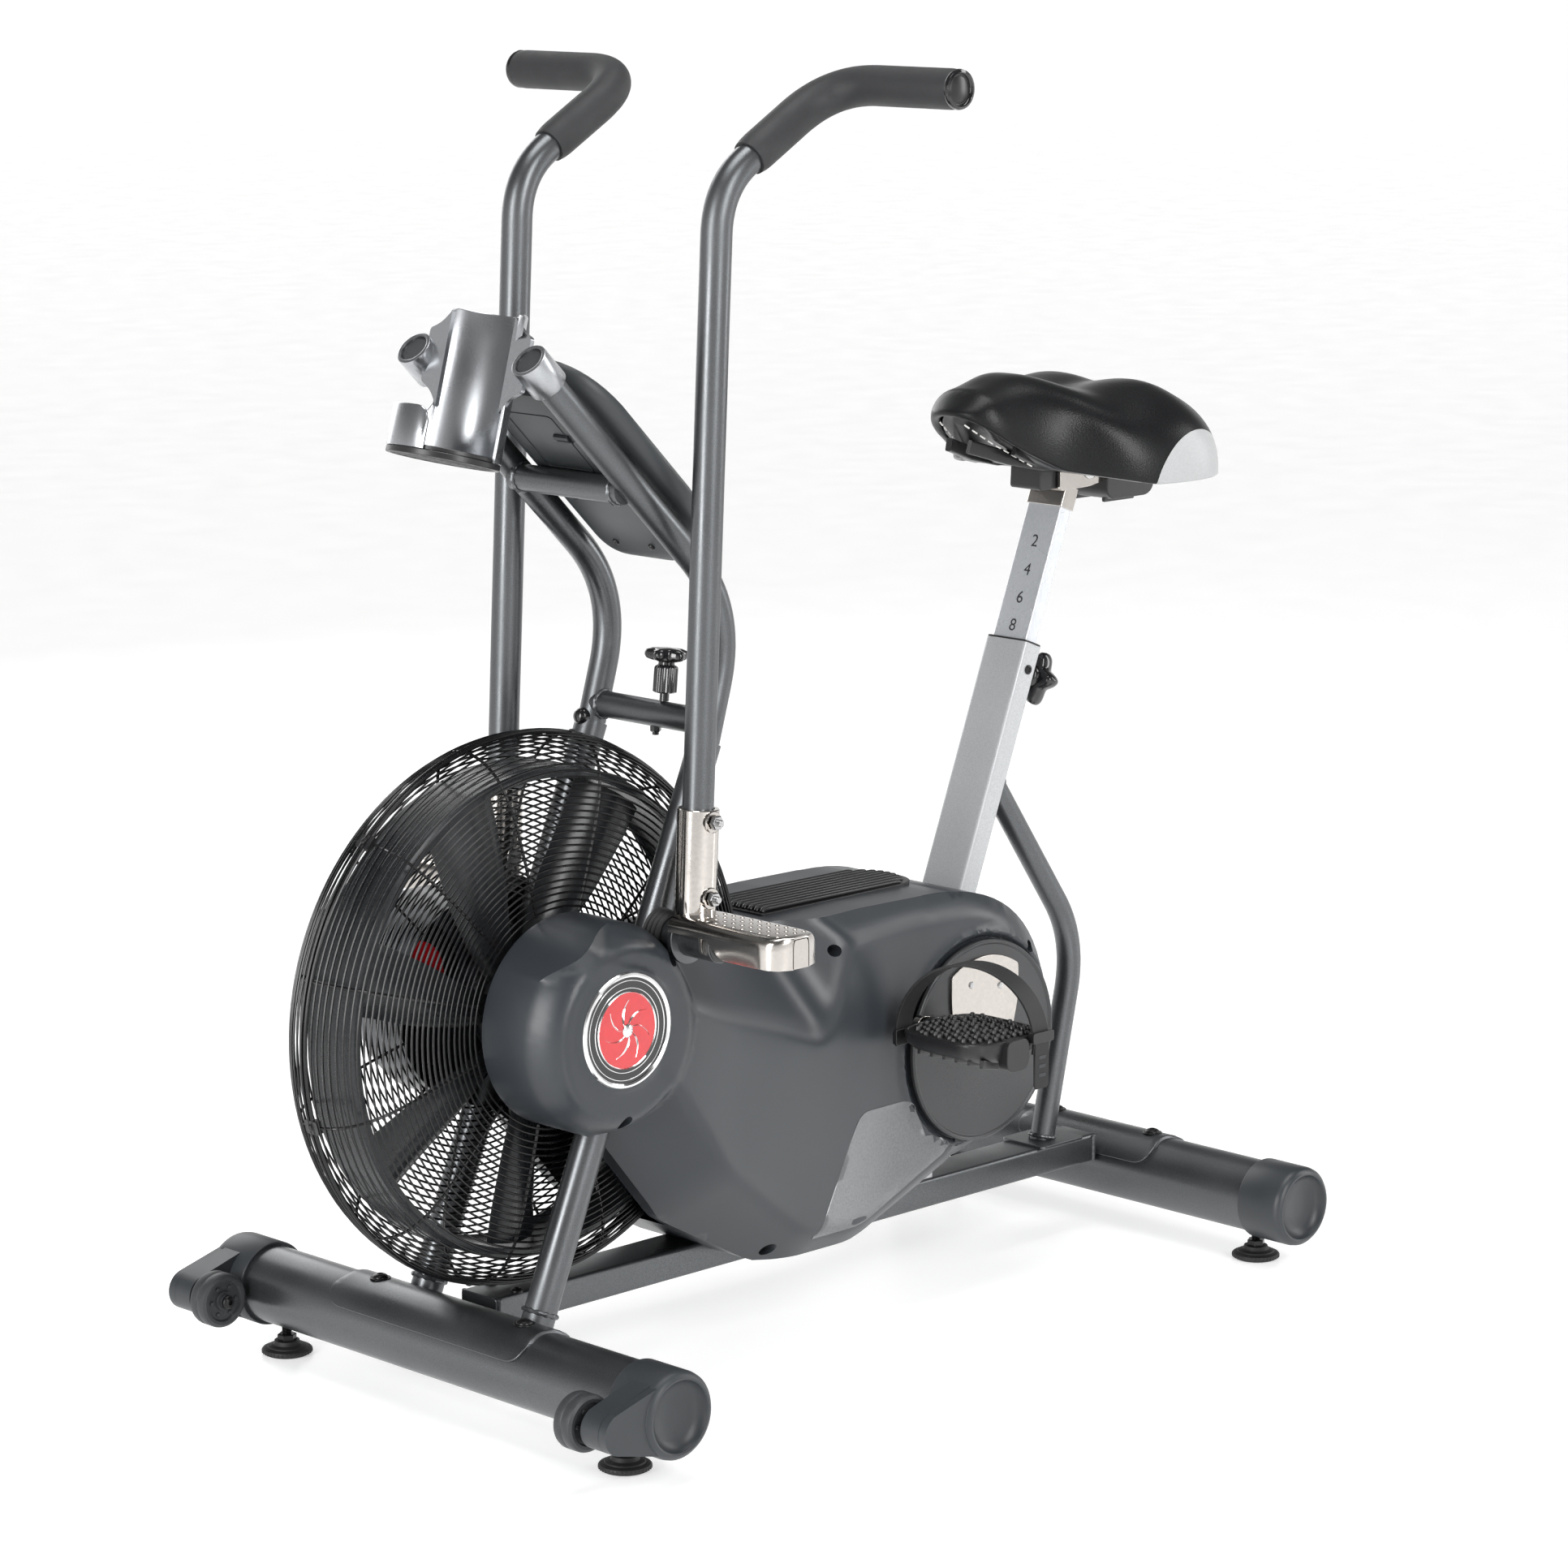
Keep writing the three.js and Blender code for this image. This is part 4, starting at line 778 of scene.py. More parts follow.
def cover(s):
    """One plastic shell, with screw wells, the crank opening and a wall round the fan cage."""
    sides = list(zip(OUTLINE, OUTLINE[1:] + OUTLINE[:1]))
    holes = [circle(x, z, r, WELL_SIDES) for x, z, r in WELLS] + [circle(CX, CZ, 30, 40)]
    relief = [(CX, CZ, r, 120) for r in (104.5, 107.2, 109.5, 111.5, 114)]
    relief += [(BADGE_X, BADGE_Z, r, 72) for r in (57.6, 60.2)]
    relief += [(FX, FZ, r, n) for r, n in (
        (76, 90), (80.5, 96), (85, 102), (89.5, 108), (94, 112), (98, 116))]
    extra = [q for line in relief for q in circle(*line) if is_inside(q, sides, 3.0)]
    points, faces = flat_mesh([OUTLINE] + holes, 6.0, extra)
    n, rim = len(OUTLINE), len(points)
    verts = [(x, s * cover_height(x, z), z) for x, z in points]
    verts += [(x, s * wall_foot(x, z), z) for x, z in OUTLINE]
    faces += ribbon(range(n), range(rim, rim + n))
    start = n
    for x, z, r in WELLS:
        low = range(len(verts), len(verts) + WELL_SIDES)
        verts += [(a, s * (cover_height(x, z) - 15), b) for a, b in circle(x, z, r * 0.94, WELL_SIDES)]
        faces += ribbon(range(start, start + WELL_SIDES), low) + [tuple(low)]
        start += WELL_SIDES
    shape = Shape()
    shape.put(verts, faces)
    wall = arc(FX, FZ, CAGE_GAP - 1, math.radians(100), math.radians(262), 60)
    wall = [q for q in wall if is_inside(q, sides, 0.5)]
    for a, b in zip(wall, wall[1:]):
        corners = ((a, INNER_LOW), (b, INNER_LOW), (b, 60), (a, 60))
        shape.put([(q[0], s * y, q[1]) for q, y in corners], [(0, 1, 2, 3)])
    shape.paint = 1
    for x, z, r in WELLS:
        shape.screw((x, s * (cover_height(x, z) - 12.5), z), (0, s, 0), r * 0.62)
    shape.form("cover_" + side_name(s), "frame", [COVER, DARK_BOLT], "cover_plastic", sharp=38)


def badge(s):
    """A plain round emblem: a chrome rim, a black band with two lines, and a red middle with curved vanes."""
    emblem = Shape(Matrix.Translation((BADGE_X, s * 151.4, BADGE_Z)))
    out = (0, s, 0)
    rim = [(50.5, -2), (55, -2), (55.4, 0.6), (54.4, 2.2), (52.4, 2.6), (50.6, 1.6)]
    for profile in (rim, [(35.2, 0), (36.4, 2.1), (37.6, 0)]):
        emblem.lathe(profile, axis=out, sides=96, closed=True)
    emblem.paint = 1
    emblem.lathe([(36, -2), (51.5, -2), (51.5, 0.9), (36, 0.9)], axis=out, sides=96, closed=True)
    emblem.paint = 2
    emblem.lathe([(0, -2), (36.5, -2), (36.5, 0.8), (20, 1.3), (0, 1.5)], axis=out, sides=96)
    emblem.paint = 0
    for r in (40.2, 47.4):
        emblem.ring((0, s * 0.9, 0), out, r, 0.45, 96, 6)
    for i in range(7):
        turns = [(k / 8, TAU * i / 7 + 0.75 * k / 8) for k in range(9)]
        path = [((7 + 22 * t) * math.cos(q), s * 1.1, (7 + 22 * t) * math.sin(q)) for t, q in turns]
        emblem.tube(path, lambda t: 0.5 + 2.1 * math.sin(math.pi * min(1, t + 0.12)) * (1 - 0.4 * t),
               section=[(1, 0), (0, 0.45), (-1, 0), (0, -0.45)])
    emblem.lathe([(0, 0), (6.4, 0), (6.4, 2), (5, 3.2), (0, 3.8)], axis=out, sides=36)
    emblem.done("badge_" + side_name(s), "frame", [BRIGHT, GLOSS_BLACK, RED], "cover_plastic")


def decal(s):
    """A glossy film on the lower rear of the cover, with no lettering."""
    loop = filleted([(-376, 112), (-445, 222), (-456, 227), (-516, 227), (-528, 220), (-548, 196),
                     (-578, 172), (-572, 162), (-452, 111)], [3, 10, 4, 6, 6, 14, 4, 6, 12], 5)

    def raised(by):
        return lambda x, z: (x, s * (cover_height(x, z) + by), z)

    film = Shape()
    film.skin(loop, 8, raised(0.35), raised(-0.6))
    film.done("cover_decal_" + side_name(s), "frame", [DECAL], "cover_plastic")


for s in (1, -1):
    cover(s)
    badge(s)
    decal(s)

louvre = Shape()
louvre.prism(filleted([(-378, -41), (-606, -41), (-606, 41), (-378, 41)], [6, 36, 36, 6], 8), 425.5, 429.2,
             lambda a, b, h: (a, b, h + (a + 378) * -0.004))
for i in range(9):
    y = -34 + 8.5 * i
    end = -563 - math.sqrt(38 ** 2 - y * y)
    line = [(-384, 429), (-386, 431.4), (-392, 431.9), (end + 6, 431.3), (end + 1.5, 430.6), (end, 428.6)]
    louvre.tube([(x, y, z) for x, z in line], 2.7, 12)
louvre.done("cover_louvre", "frame", [BLACK], "black_plastic", bevel=0.6, angle=32)

boot = Shape()
folds = [p for k in range(4) for p in ((23.4 - k * 0.7, 102 + k * 5), (20.2 - k * 0.5, 104.5 + k * 5))]
for s in (1, -1):
    boot.lathe([(17.6, 100)] + folds + [(18.5, 121), (17.6, 121)], PIVOT, (0, s, 0), closed=True)
boot.done("pivot_boots", "frame", [RUBBER], "rubber")


# ------------------------------------------------------------------ crank and pedals
LEAD = 0.3
THROW = 100
PEDAL_Y = 185


def crank(s, px, pz):
    """The round disc, its chrome plate and the crank arm with the pedal's spindle."""
    disc = Shape()
    at, out = (CX, 0, CZ), (0, s, 0)
    boss = [(0, 120), (15.5, 120), (15.5, 123.4), (13, 124.6), (11, 124.6), (10.4, 122.8), (0, 122.6)]
    disc.lathe(boss, at, out, 40)
    pin = [(0, 116), (7, 116), (7, 124.5), (5.9, 125), (5.9, 234), (4.8, 235), (0, 235)]
    disc.lathe(pin, (px, 0, pz), out, 28)
    disc.prism(link_outline((CX, CZ, 19.5), (px, pz, 13), 30, 20), s * 113.5, s * 122)
    plate = arc(CX, CZ, 88, math.radians(124), math.radians(56), 24)
    plate += [(CX + x, CZ + z) for x, z in ((50, 40), (38, -6), (-38, -6), (-50, 40))]
    disc.prism(filleted(plate, [6] + [0] * 23 + [6, 14, 14, 14, 14], 4), s * 112.4, s * 115.2)
    disc.paint = 1
    for x, z in ((-22, 54), (21, 61)):
        disc.screw((CX + x, s * 115.2, CZ + z), out, 3.6)
    disc.hex_head((CX, s * 122.4, CZ), out, 6.5)
    disc.paint = 2
    disc.lathe([(0, 108), (101.5, 108), (103.6, 108.8), (104, 110.4), (103.4, 112.6), (102, 113.8),
                (100.4, 114), (99.4, 113.2), (98.6, 112.3), (60, 112.6), (0, 112.9)], at, out, 128)
    disc.ring((CX, s * 113.2, CZ), out, 101.6, 1.1, 128)
    disc.form("crank_" + side_name(s), "crank", [CHROME, BOLT, DISC], "chrome", bevel=0.7, angle=45)


def pedal(s, px, pz):
    """A dished tread with studs on top, curved webs below and a cap at its outer end."""
    tread = Shape()
    rows = []
    for wide, long, height, lift in (
            (0.50, 0.80, -14, 0), (0.80, 0.90, -10.5, 3), (0.93, 0.97, -5, 4), (0.98, 0.995, 1, 3),
            (1, 1, 6, 2), (1, 1, 9.4, 1), (0.975, 0.985, 10.9, 0.6), (0.94, 0.965, 10.6, 0.4),
            (0.92, 0.95, 9.3, 0.2)):
        rows.append([(px + 55 * wide * math.copysign(abs(c) ** 0.62, c),
                      s * PEDAL_Y + 57.5 * long * math.copysign(abs(n) ** 0.45, n),
                      pz + height + lift * c * c) for c, n in circle(0, 0, 1, 56)])
    tread.loft(rows)
    for i in range(11):
        for j in range(11):
            x = -44 + 8.8 * i + (2.2 if j % 2 else -2.2)
            y = -47 + 9.4 * j
            if (abs(x) / 48) ** 3 + (abs(y) / 51) ** 4 < 1:
                h = 13.6 + 0.9 * math.sin(i * 2.1 + j * 1.3)
                stud = [(0, 8.8), (2.9, 8.8), (2.3, h - 0.9), (1.7, h), (0, h + 0.3)]
                tread.lathe(stud, (px + x, s * PEDAL_Y + y, pz), UP, 8)
    for j in range(6):
        y = s * PEDAL_Y - 42 + 16.8 * j
        web = [(px + x, y + x * slant, pz + z) for x, slant, z in (
            (-40, 0.225, -7.5), (-12, 0.25, -14.5), (12, 0.25, -14.5), (40, 0.225, -7.5))]
        tread.tube(web, 1, section=[(5.4, -1.7), (5.4, 1.7), (-3, 2.6), (-3, -2.6)], up=(0, 0, -1))
    cap = [(px - 17, pz - 21), (px + 17, pz - 21), (px + 15, pz + 11), (px - 15, pz + 11)]
    tread.prism(filleted(cap, [14, 14, 8, 8], 8), s * 236, s * 248.4)
    collar = [(7, 127.4), (15, 127.4), (16, 129), (16, 136), (7, 136)]
    tread.lathe(collar, (px, 0, pz - 2), (0, s, 0), 32, closed=True)
    tread.form("pedal_" + side_name(s), "pedal_" + side_name(s), [BLACK], "black_plastic", bevel=0.7)


def pedal_strap(s, px, pz):
    """A band arched over the tread, its hanging end with three holes, and a block at each side."""
    strap = Shape()
    reach, rise, slant, droop = 61.5, 75, 0.55, math.radians(9)
    path = []
    for k in range(41):
        a = (math.pi + 2 * droop) * k / 40 - droop
        y = reach * math.cos(a)
        z = rise * math.sin(a) if 0 < a < math.pi else -11 * abs(math.sin(a)) / math.sin(droop)
        path.append((px - slant * y, s * (PEDAL_Y + y), pz + 2 + z))
    strap.tube(path, 1, section=[(11, -1.4), (11, 1.4), (-11, 1.4), (-11, -1.4)], up=(1, 0, 0))
    ox, oy = px - slant * reach, s * (PEDAL_Y + reach + 1.1)
    strap.tube([(ox, oy, pz + z) for z in (12, -16, -40, -44)], lambda q: 1 if q < 0.99 else 0.8,
           section=[(10, -1.4), (10, 1.4), (-10, 1.4), (-10, -1.4)], up=(1, 0, 0))
    strap.paint = 1
    strap.prism(rect(ox - 15, pz + 3, ox + 15, pz + 14, 3), s * 243.6, s * 251.2)
    ix = px + slant * reach
    strap.prism(rect(ix - 14, pz - 8, ix + 14, pz + 8, 3), s * 122.8, s * 128)
    strap.paint = 2
    for z in (pz - 12, pz - 21, pz - 30):
        strap.prism(rect(ox - 5, z - 1.9, ox + 5, z + 1.9, 1.5), s * 248.6, s * 249.5)
    strap.form("pedal_strap_" + side_name(s), "pedal_" + side_name(s), [RUBBER, BLACK, INK], "rubber",
               bevel=0.5)


for s in (1, -1):
    spindle = CX + s * THROW * math.cos(LEAD), CZ + s * THROW * math.sin(LEAD)
    crank(s, *spindle)
    pedal(s, *spindle)
    pedal_strap(s, *spindle)


# ------------------------------------------------------------------ arms, foot pegs and grips
ARM_Y = 138
GRIP_X, GRIP_Y, GRIP_Z = -376, 299, 1243
SLEEVE_LOW, SLEEVE_HIGH = (-193.2, 468), (-198.6, 575)
BOLTS_ALONG = (0.22, 0.90)


def clamped(value):
    return min(1, max(0, value))


def grip(s, start):
    """A foam sleeve along the lever's bend, with a plug in its end."""
    foam = Shape()
    elbow = Vector((GRIP_X, ARM_Y * s, GRIP_Z))
    first = start + (elbow - start).normalized() * 0.3
    path = eased([first, elbow, (GRIP_X, GRIP_Y * s, GRIP_Z)], 60, 28)
    even = []
    for p, q in zip(path, path[1:]):
        steps = max(1, round((q - p).length / 7))
        even += [p.lerp(q, k / steps) for k in range(steps)]

    def radius(t):
        return 17.4 if t <= 0.004 else 18.6 if t <= 0.02 else 19 if t < 0.985 else 18.2

    foam.tube(even + [path[-1]], radius, 40)
    end = (GRIP_X, (GRIP_Y - 0.4) * s, GRIP_Z)
    foam.paint = 1
    foam.lathe([(0, -3), (16.8, -3), (18.4, 0), (18.9, 2.2), (18.2, 4.4), (15.8, 5.4), (14.6, 4.6),
             (13.8, 2.4), (0, 1.6)], end, (0, s, 0))
    foam.paint = 2
    foam.lathe([(0, 1.4), (12.6, 1.4), (12.9, 2.2), (11.8, 2.9), (0, 3.3)], end, (0, s, 0), 40)
    foam.form("grip_" + side_name(s), "arm_" + side_name(s), [FOAM, GLOSS_BLACK, BLACK], "grip_foam",
              sharp=45)


def peg_point(x, y, z, s):
    """A point of the peg's section. Its two skirts change depth on the way out, and its tip is round."""
    if z < 464 and x > -190:
        t = clamped((y - 176) / 40)
        lower = 471 - 24.5 * t ** 2 * (3 - 2 * t)
        z = 464 - (464 - z) * (464 - max(min(lower, 463), 446)) / 18
    if z < 464 and x < -190:
        lower = 456 - 27 * clamped((y - 150) / 60) + 18 * clamped((y - 230) / 40)
        z = 464 - (464 - z) * (464 - lower) / 35
    if y > 262:
        pull = 1 - math.sqrt(max(0.0, 1 - ((y - 262) / 24) ** 2))
        x = -187 + (x + 187) * (1 - 0.66 * pull)
    return x, s * y, z


def foot_peg(s):
    """The chrome sleeve on the lever, the pressed foot peg with its raised dimples and painted shade in their
    middles, and two bolts.
    """
    peg = Shape()
    low = Vector((SLEEVE_LOW[0], ARM_Y * s, SLEEVE_LOW[1]))
    way = Vector((SLEEVE_HIGH[0], ARM_Y * s, SLEEVE_HIGH[1])) - low
    length = way.length
    sleeve = [(15.6, 0), (20, 0), (20, length - 0.8), (19.3, length), (15.6, length)]
    peg.lathe(sleeve, low, way, 56, closed=True)
    bolts = [low + way * t for t in BOLTS_ALONG]
    for c in bolts:
        peg.lathe([(0, 14), (10.6, 17.2), (10.6, 20.6), (9.8, 21.4), (0, 21.4)], c, (0, s, 0), 28)
    channel = filleted([(-156, 446), (-156, 477), (-218, 477), (-218, 429), (-215.2, 429), (-215.2, 474.2),
                        (-158.8, 474.2), (-158.8, 446)], [0.8, 12, 12, 1.2, 1.2, 9.5, 9.5, 0.8])
    peg.loft([[peg_point(x, 140 + 146 * k / 28, z, s) for x, z in channel] for k in range(29)])
    peg.prism(filleted([(-214, 432), (-160, 447), (-158, 474), (-214, 474)], 6), s * 178.4, s * 181.6)
    peg.prism(rect(-198, 447, -176, 475, [2, 2, 4, 4], 4), s * 283.2, s * 286)
    dimple = [(1.5, -0.4), (2.3, -0.4), (2.4, 0.2), (2.0, 0.55), (1.5, 0.45), (1.3, 0.1)]
    # Each dimple's middle gets a dark disc: painted shade standing in for its hollow.
    painted_shade_disc = [(0, -0.6), (1.45, -0.6), (1.45, 0.16), (0, 0.1)]
    places = [(-204 + i * 11.4, s * (168 + j * 11.6), 477) for i in range(4) for j in range(10)]
    for at in places:
        peg.lathe(dimple, at, UP, 12, closed=True)
    # The dark disc paint in the dimples' middles is painted shade, not a finish of the peg.
    peg.paint = 2
    for at in places:
        peg.lathe(painted_shade_disc, at, UP, 10)
    peg.paint = 1
    for c in bolts:
        peg.hex_head(c + Vector((0, s * 21.2, 0)), (0, s, 0), 7.2)
        peg.lathe([(0, 28), (3.6, 28), (3.6, 31.5), (2.8, 32.2), (0, 32.2)], c, (0, s, 0), 18)
        peg.lathe([(0, 17), (8.6, 18.8), (8.6, 21), (0, 21)], c, (0, -s, 0), 24)
    peg.form("foot_peg_" + side_name(s), "arm_" + side_name(s), [CHROME, BOLT, DISC], "chrome", sharp=40)


def arm_pivot(s):
    """The lever's hub on its shaft, with the inner lever that drives the link rod."""
    lever = Shape()
    lever.lathe([(9.6, 97), (17, 97), (17, 185.2), (16.2, 186), (9.6, 186)], PIVOT, (0, s, 0), closed=True)
    collar = [(16.5, 136), (24, 136.6), (24.6, 139), (24.6, 143), (16.5, 144)]
    lever.lathe(collar, PIVOT, (0, s, 0), closed=True)
    lever.prism(link_outline((PIVOT_X, PIVOT_Z, 17), (-215, 350, 11), 24, 14), s * 97, s * 101)
    lever.rod(5, 86, 98, (-215, 0, 350), (0, s, 0), 20)
    lever.form("arm_pivot_" + side_name(s), "arm_" + side_name(s), [PAINT], "frame_paint", bevel=0.5)


def pivot_shaft(s):
    shaft = Shape()
    shaft.rod(9, 96.6, 186.4, PIVOT, (0, s, 0), 28)
    shaft.lathe([(0, 186.3), (16.6, 186.3), (16.6, 187.6), (15.8, 188.4), (0, 188.4)], PIVOT, (0, s, 0), 36)
    nut = [(0, 188.2), (12.2, 188.2), (12.2, 193.4), (10.8, 195.2), (7, 195.2), (6.2, 194.4), (0, 194.2)]
    shaft.lathe(nut, PIVOT, (0, s, 0), 6, turn=0.2)
    shaft.form("pivot_shaft_" + side_name(s), "frame", [GLOSS_BLACK], "black_plastic")


for s in (1, -1):
    y = ARM_Y * s
    end = Vector((-266, y, 1178))
    lever = Shape()
    lever.tube(eased([(-193.5, y, 482), (-226, y, 1154.4), end], 44), 15, 44)
    lever.form("arm_tube_" + side_name(s), "arm_" + side_name(s), [PAINT], "frame_paint")
    grip(s, end)
    foot_peg(s)
    arm_pivot(s)
    pivot_shaft(s)


# ------------------------------------------------------------------ mast knob, console and bottle holder
def lobed(radius, depth, lobes, h, centre, axes, n=84, power=1.0):
    """A ring whose radius dips between its lobes."""
    a, b, c = axes
    ring = []
    for t in [TAU * i / n for i in range(n)]:
        r = radius - depth * (0.5 - 0.5 * math.cos(lobes * t)) ** power
        ring.append(centre + a * (r * math.cos(t)) + b * (r * math.sin(t)) + c * h)
    return ring


knob = Shape()
knob_axis = (-0.0998, 0, 0.995)
knob_foot = Vector((-268, 18, 653.3))
knob.rod(4.6, 0.2, 10, knob_foot, knob_axis, 24)
knob.loft([lobed(r, depth, n, h, knob_foot, basis(knob_axis)) for r, depth, n, h in (
    (9, 0.4, 12, 8), (12, 1.2, 12, 9.4), (12, 1.3, 12, 32), (11, 0.8, 12, 34), (8, 0, 5, 35.5),
    (8, 0.2, 5, 38), (16, 3.2, 5, 39.4), (20.4, 6.2, 5, 41), (22, 7.4, 5, 43.6), (22, 7.4, 5, 46.4),
    (20.6, 6.4, 5, 49.2),
    (15, 3, 5, 51.2), (5, 0.2, 5, 52))])
knob.form("mast_knob", "mast_knob", [GLOSS_BLACK], "black_plastic", sharp=50)

DOWN = Vector((-0.7118, 0, -0.7024))
NORMAL = Vector((-0.7024, 0, 0.7118))


def on_console(a, b, n, swell=0.0):
    """Console place: a down the mast from its top, b across to the left, n out toward the rider."""
    bulge = swell * math.sin(math.pi * clamped((a - 40) / 260))
    return MAST_TOP + DOWN * a + Vector((0, b, 0)) + NORMAL * (n + bulge)


FACE_SWELL, EDGE_SWELL = 5.5, 1.1


def slab(shape, levels, chords, swell):
    """A rounded slab from levels of (half width, length start, length end, corner, n)."""
    shape.loft([[on_console(a, b, n, swell(n)) for a, b in rect(a0, -half, a1, half, corner, chords)]
                for half, a0, a1, corner, n in levels])


housing = Shape()
slab(housing, [(52, 60, 276, 40, 17), (74, 48, 290, 56, 18.4), (84, 44, 295, 64, 22), (90, 41, 299, 68, 28),
         (92, 40, 300, 70, 32), (91, 40.6, 299.4, 69, 35.4), (88, 43, 297, 67, 37.4), (83, 47, 293, 63, 38.4),
         (60, 66, 270, 46, 38.8)], 10, lambda n: FACE_SWELL if n > 30 else EDGE_SWELL)
slab(housing, [(50, 70, 302, 26, 6), (55, 64, 307, 29, 7), (58, 61, 309, 31, 10), (58, 60, 309, 31, 18)], 8,
     lambda n: 0)
housing.tube([on_console(128, b, 4.8) for b in (14, 34)], 1.4, 8)
housing.paint = 1
slab(housing, [(70, 74, 202, 14, 37.2), (69, 75, 201, 13, 39.6), (66.5, 78, 198, 12, 40.2),
         (65.4, 80, 196, 11, 38.6)], 10, lambda n: FACE_SWELL)
housing.paint = 2
for a, b in ((218, -34), (218, 16), (286, -30), (286, 20)):
    housing.screw(on_console(a, b, 5.6), -NORMAL, 3.6)
housing.paint = 3
housing.tube([on_console(a, b, 5.9) for a, b in rect(92, -34, 172, 30, 6, 5)], 0.8, 6, closed=True)
housing.tube([on_console(122, b, 5.4) for b in (14, 34)], 3.4, 8)
housing.form("console_housing", "frame", [CONSOLE, GLOSS_BLACK, DARK_BOLT, INK], "console_plastic", bevel=0.6)

screen = Shape()
slab(screen, [(65, 81, 195, 8, 36.6), (65, 81, 195, 8, 39.0), (64.2, 81.8, 194.2, 8, 39.4)], 6,
     lambda n: FACE_SWELL)
screen.paint = 1
for a0 in (92, 125, 158):
    for b0 in (-56, 2):
        field = rect(a0, b0, a0 + 27, b0 + 52, 3, 3)
        screen.loft([[on_console(a, b, n, FACE_SWELL) for a, b in field] for n in (39.1, 39.62)])
screen.form("console_screen", "frame", [GLASS, INK], "screen", bevel=0.3, segments=1)

for number, b, finish in ((1, 45, SILVER_PAINT), (2, 0, RED), (3, -45, SILVER_PAINT)):
    button = Shape()
    button.lathe([(0, 37.8), (8.4, 37.8), (8.8, 38.6), (8.8, 42.2), (8.2, 43.4), (6.6, 44.1), (3, 44.4),
             (0, 44.5)], on_console(228, b, 0), NORMAL, 32)
    button.form("console_button_%d" % number, "button_%d" % number, [finish], "console_plastic")

HOLD = Matrix.Translation((-8, 0, 912)) @ Matrix.Rotation(-0.26, 4, "Y")
CUP, WALL = 50.5, 3.0


def curved_wall(shape, a0, a1, low, high, n=60, flare=0.0):
    """A wall round the cup from angle a0 to a1. low and high give its edges along it from 0 to 1."""
    rows = []
    for t in [i / n for i in range(n + 1)]:
        angle = math.radians(a0 + (a1 - a0) * t)
        r = CUP + flare * (1 - t) ** 2
        foot_z, top_z = low(t), high(t)
        rows.append([((r + q * WALL) * math.cos(angle), (r + q * WALL) * math.sin(angle), z) for q, z in (
            (0, foot_z + 1), (0.5, foot_z), (1, foot_z + 1), (1, top_z - 1.6), (0.7, top_z - 0.3),
            (0.3, top_z - 0.3), (0, top_z - 1.6))])
    shape.loft(rows)


def corner_drop(t, width, drop):
    """How much an edge falls off near the start of a wall, as a rounded corner does."""
    return drop * (1 - math.sqrt(1 - max(0.0, 1 - t / width) ** 2))


holder = Shape(HOLD)
curved_wall(holder, 110, 250, lambda t: 0,
            lambda t: 140 - corner_drop(t, 0.07, 9) - corner_drop(1 - t, 0.07, 9))
curved_wall(holder, 244, 387, lambda t: 0,
            lambda t: 40 - corner_drop(1 - t, 0.10, 13) + 14 * step_down(t, 0.05, 0.012))
curved_wall(holder, 103, 112, lambda t: 118 - 6 * t, lambda t: 137 + 2 * t, 10, 9)
web = filleted([(44, 46), (54, 60), (70, 68), (70, 118), (56, 124), (44, 136)], [1, 12, 3, 3, 14, 1], 8)
for s in (1, -1):
    holder.prism(web, -21.6, -17, lambda p, q, h, s=s: (h, s * p, q))
holder.place = Matrix.Identity(4)
plugs = Shape()
for s in (1, -1):
    end = MAST_TOP + Vector((0, FORK_Y * s, 0))
    holder.lathe([(14.4, -1.5), (16.4, -2.2), (18.2, -1.2), (18.5, 1), (18.5, 33), (17.6, 34), (14.4, 34)],
            end, DOWN, 56, closed=True)
    plug = [(0, 3), (14.3, 3), (14.3, -0.4), (12.6, -0.2), (11.4, 1.6), (6, 3.4), (0, 3.9)]
    plugs.lathe(plug, end, DOWN, 44)
holder.done("bottle_holder_wall", "frame", [HOLDER], "holder_silver", "bottle_holder", sharp=50)
plugs.done("mast_plugs", "frame", [BLACK], "black_plastic")

base = Shape(HOLD)
base.lathe([(0, 0.4), (50.3, 0.4), (50.3, 4.6), (0, 5.0)], sides=64)
base.lathe([(48.6, -5.5), (52.6, -5.5), (53.2, -4.8), (53.2, 0.2), (48.6, 0.2)], sides=72, closed=True)
ribs = [(x, 1.5, math.sqrt(50 ** 2 - x * x)) for x in range(-40, 41, 10)] + [(0, 46, 1.5)]
for x, across, along in ribs:
    base.prism([(x - across, -along), (x + across, -along), (x + across, along), (x - across, along)],
               -5.2, 1, on_top)
base.done("bottle_holder_base", "frame", [BLACK], "black_plastic", bevel=0.5, segments=1)


# ------------------------------------------------------------------ seat tube, post and clamp
SEAT_AWAY = (-LEAN_Z, 0, -LEAN_X)
CLAMP_BOLT = (-872, 0, 826)


def on_seat(along, front=0.0, across=0.0):
    """Seat place: along the tube up from its top end, front of its middle, and across to the left."""
    x, z = front * LEAN_Z - along * LEAN_X, along * LEAN_Z + front * LEAN_X
    return Vector((SEAT_X + x, across, SEAT_Z + z))


def seat_rings(levels):
    return [[on_seat(a, front, across) for front, across in loop] for a, loop in levels]


def hollow_bar(shape, outer, inner, low, high):
    """A box tube along the seat, from one outline to the other, with its top edge eased."""
    eased_edge = [(front * 0.985, across * 0.985) for front, across in outer]
    shape.loft(seat_rings([(low, outer), (high - 0.6, outer), (high, eased_edge), (high, inner), (low, inner),
                           (low, outer)]), capped=False)


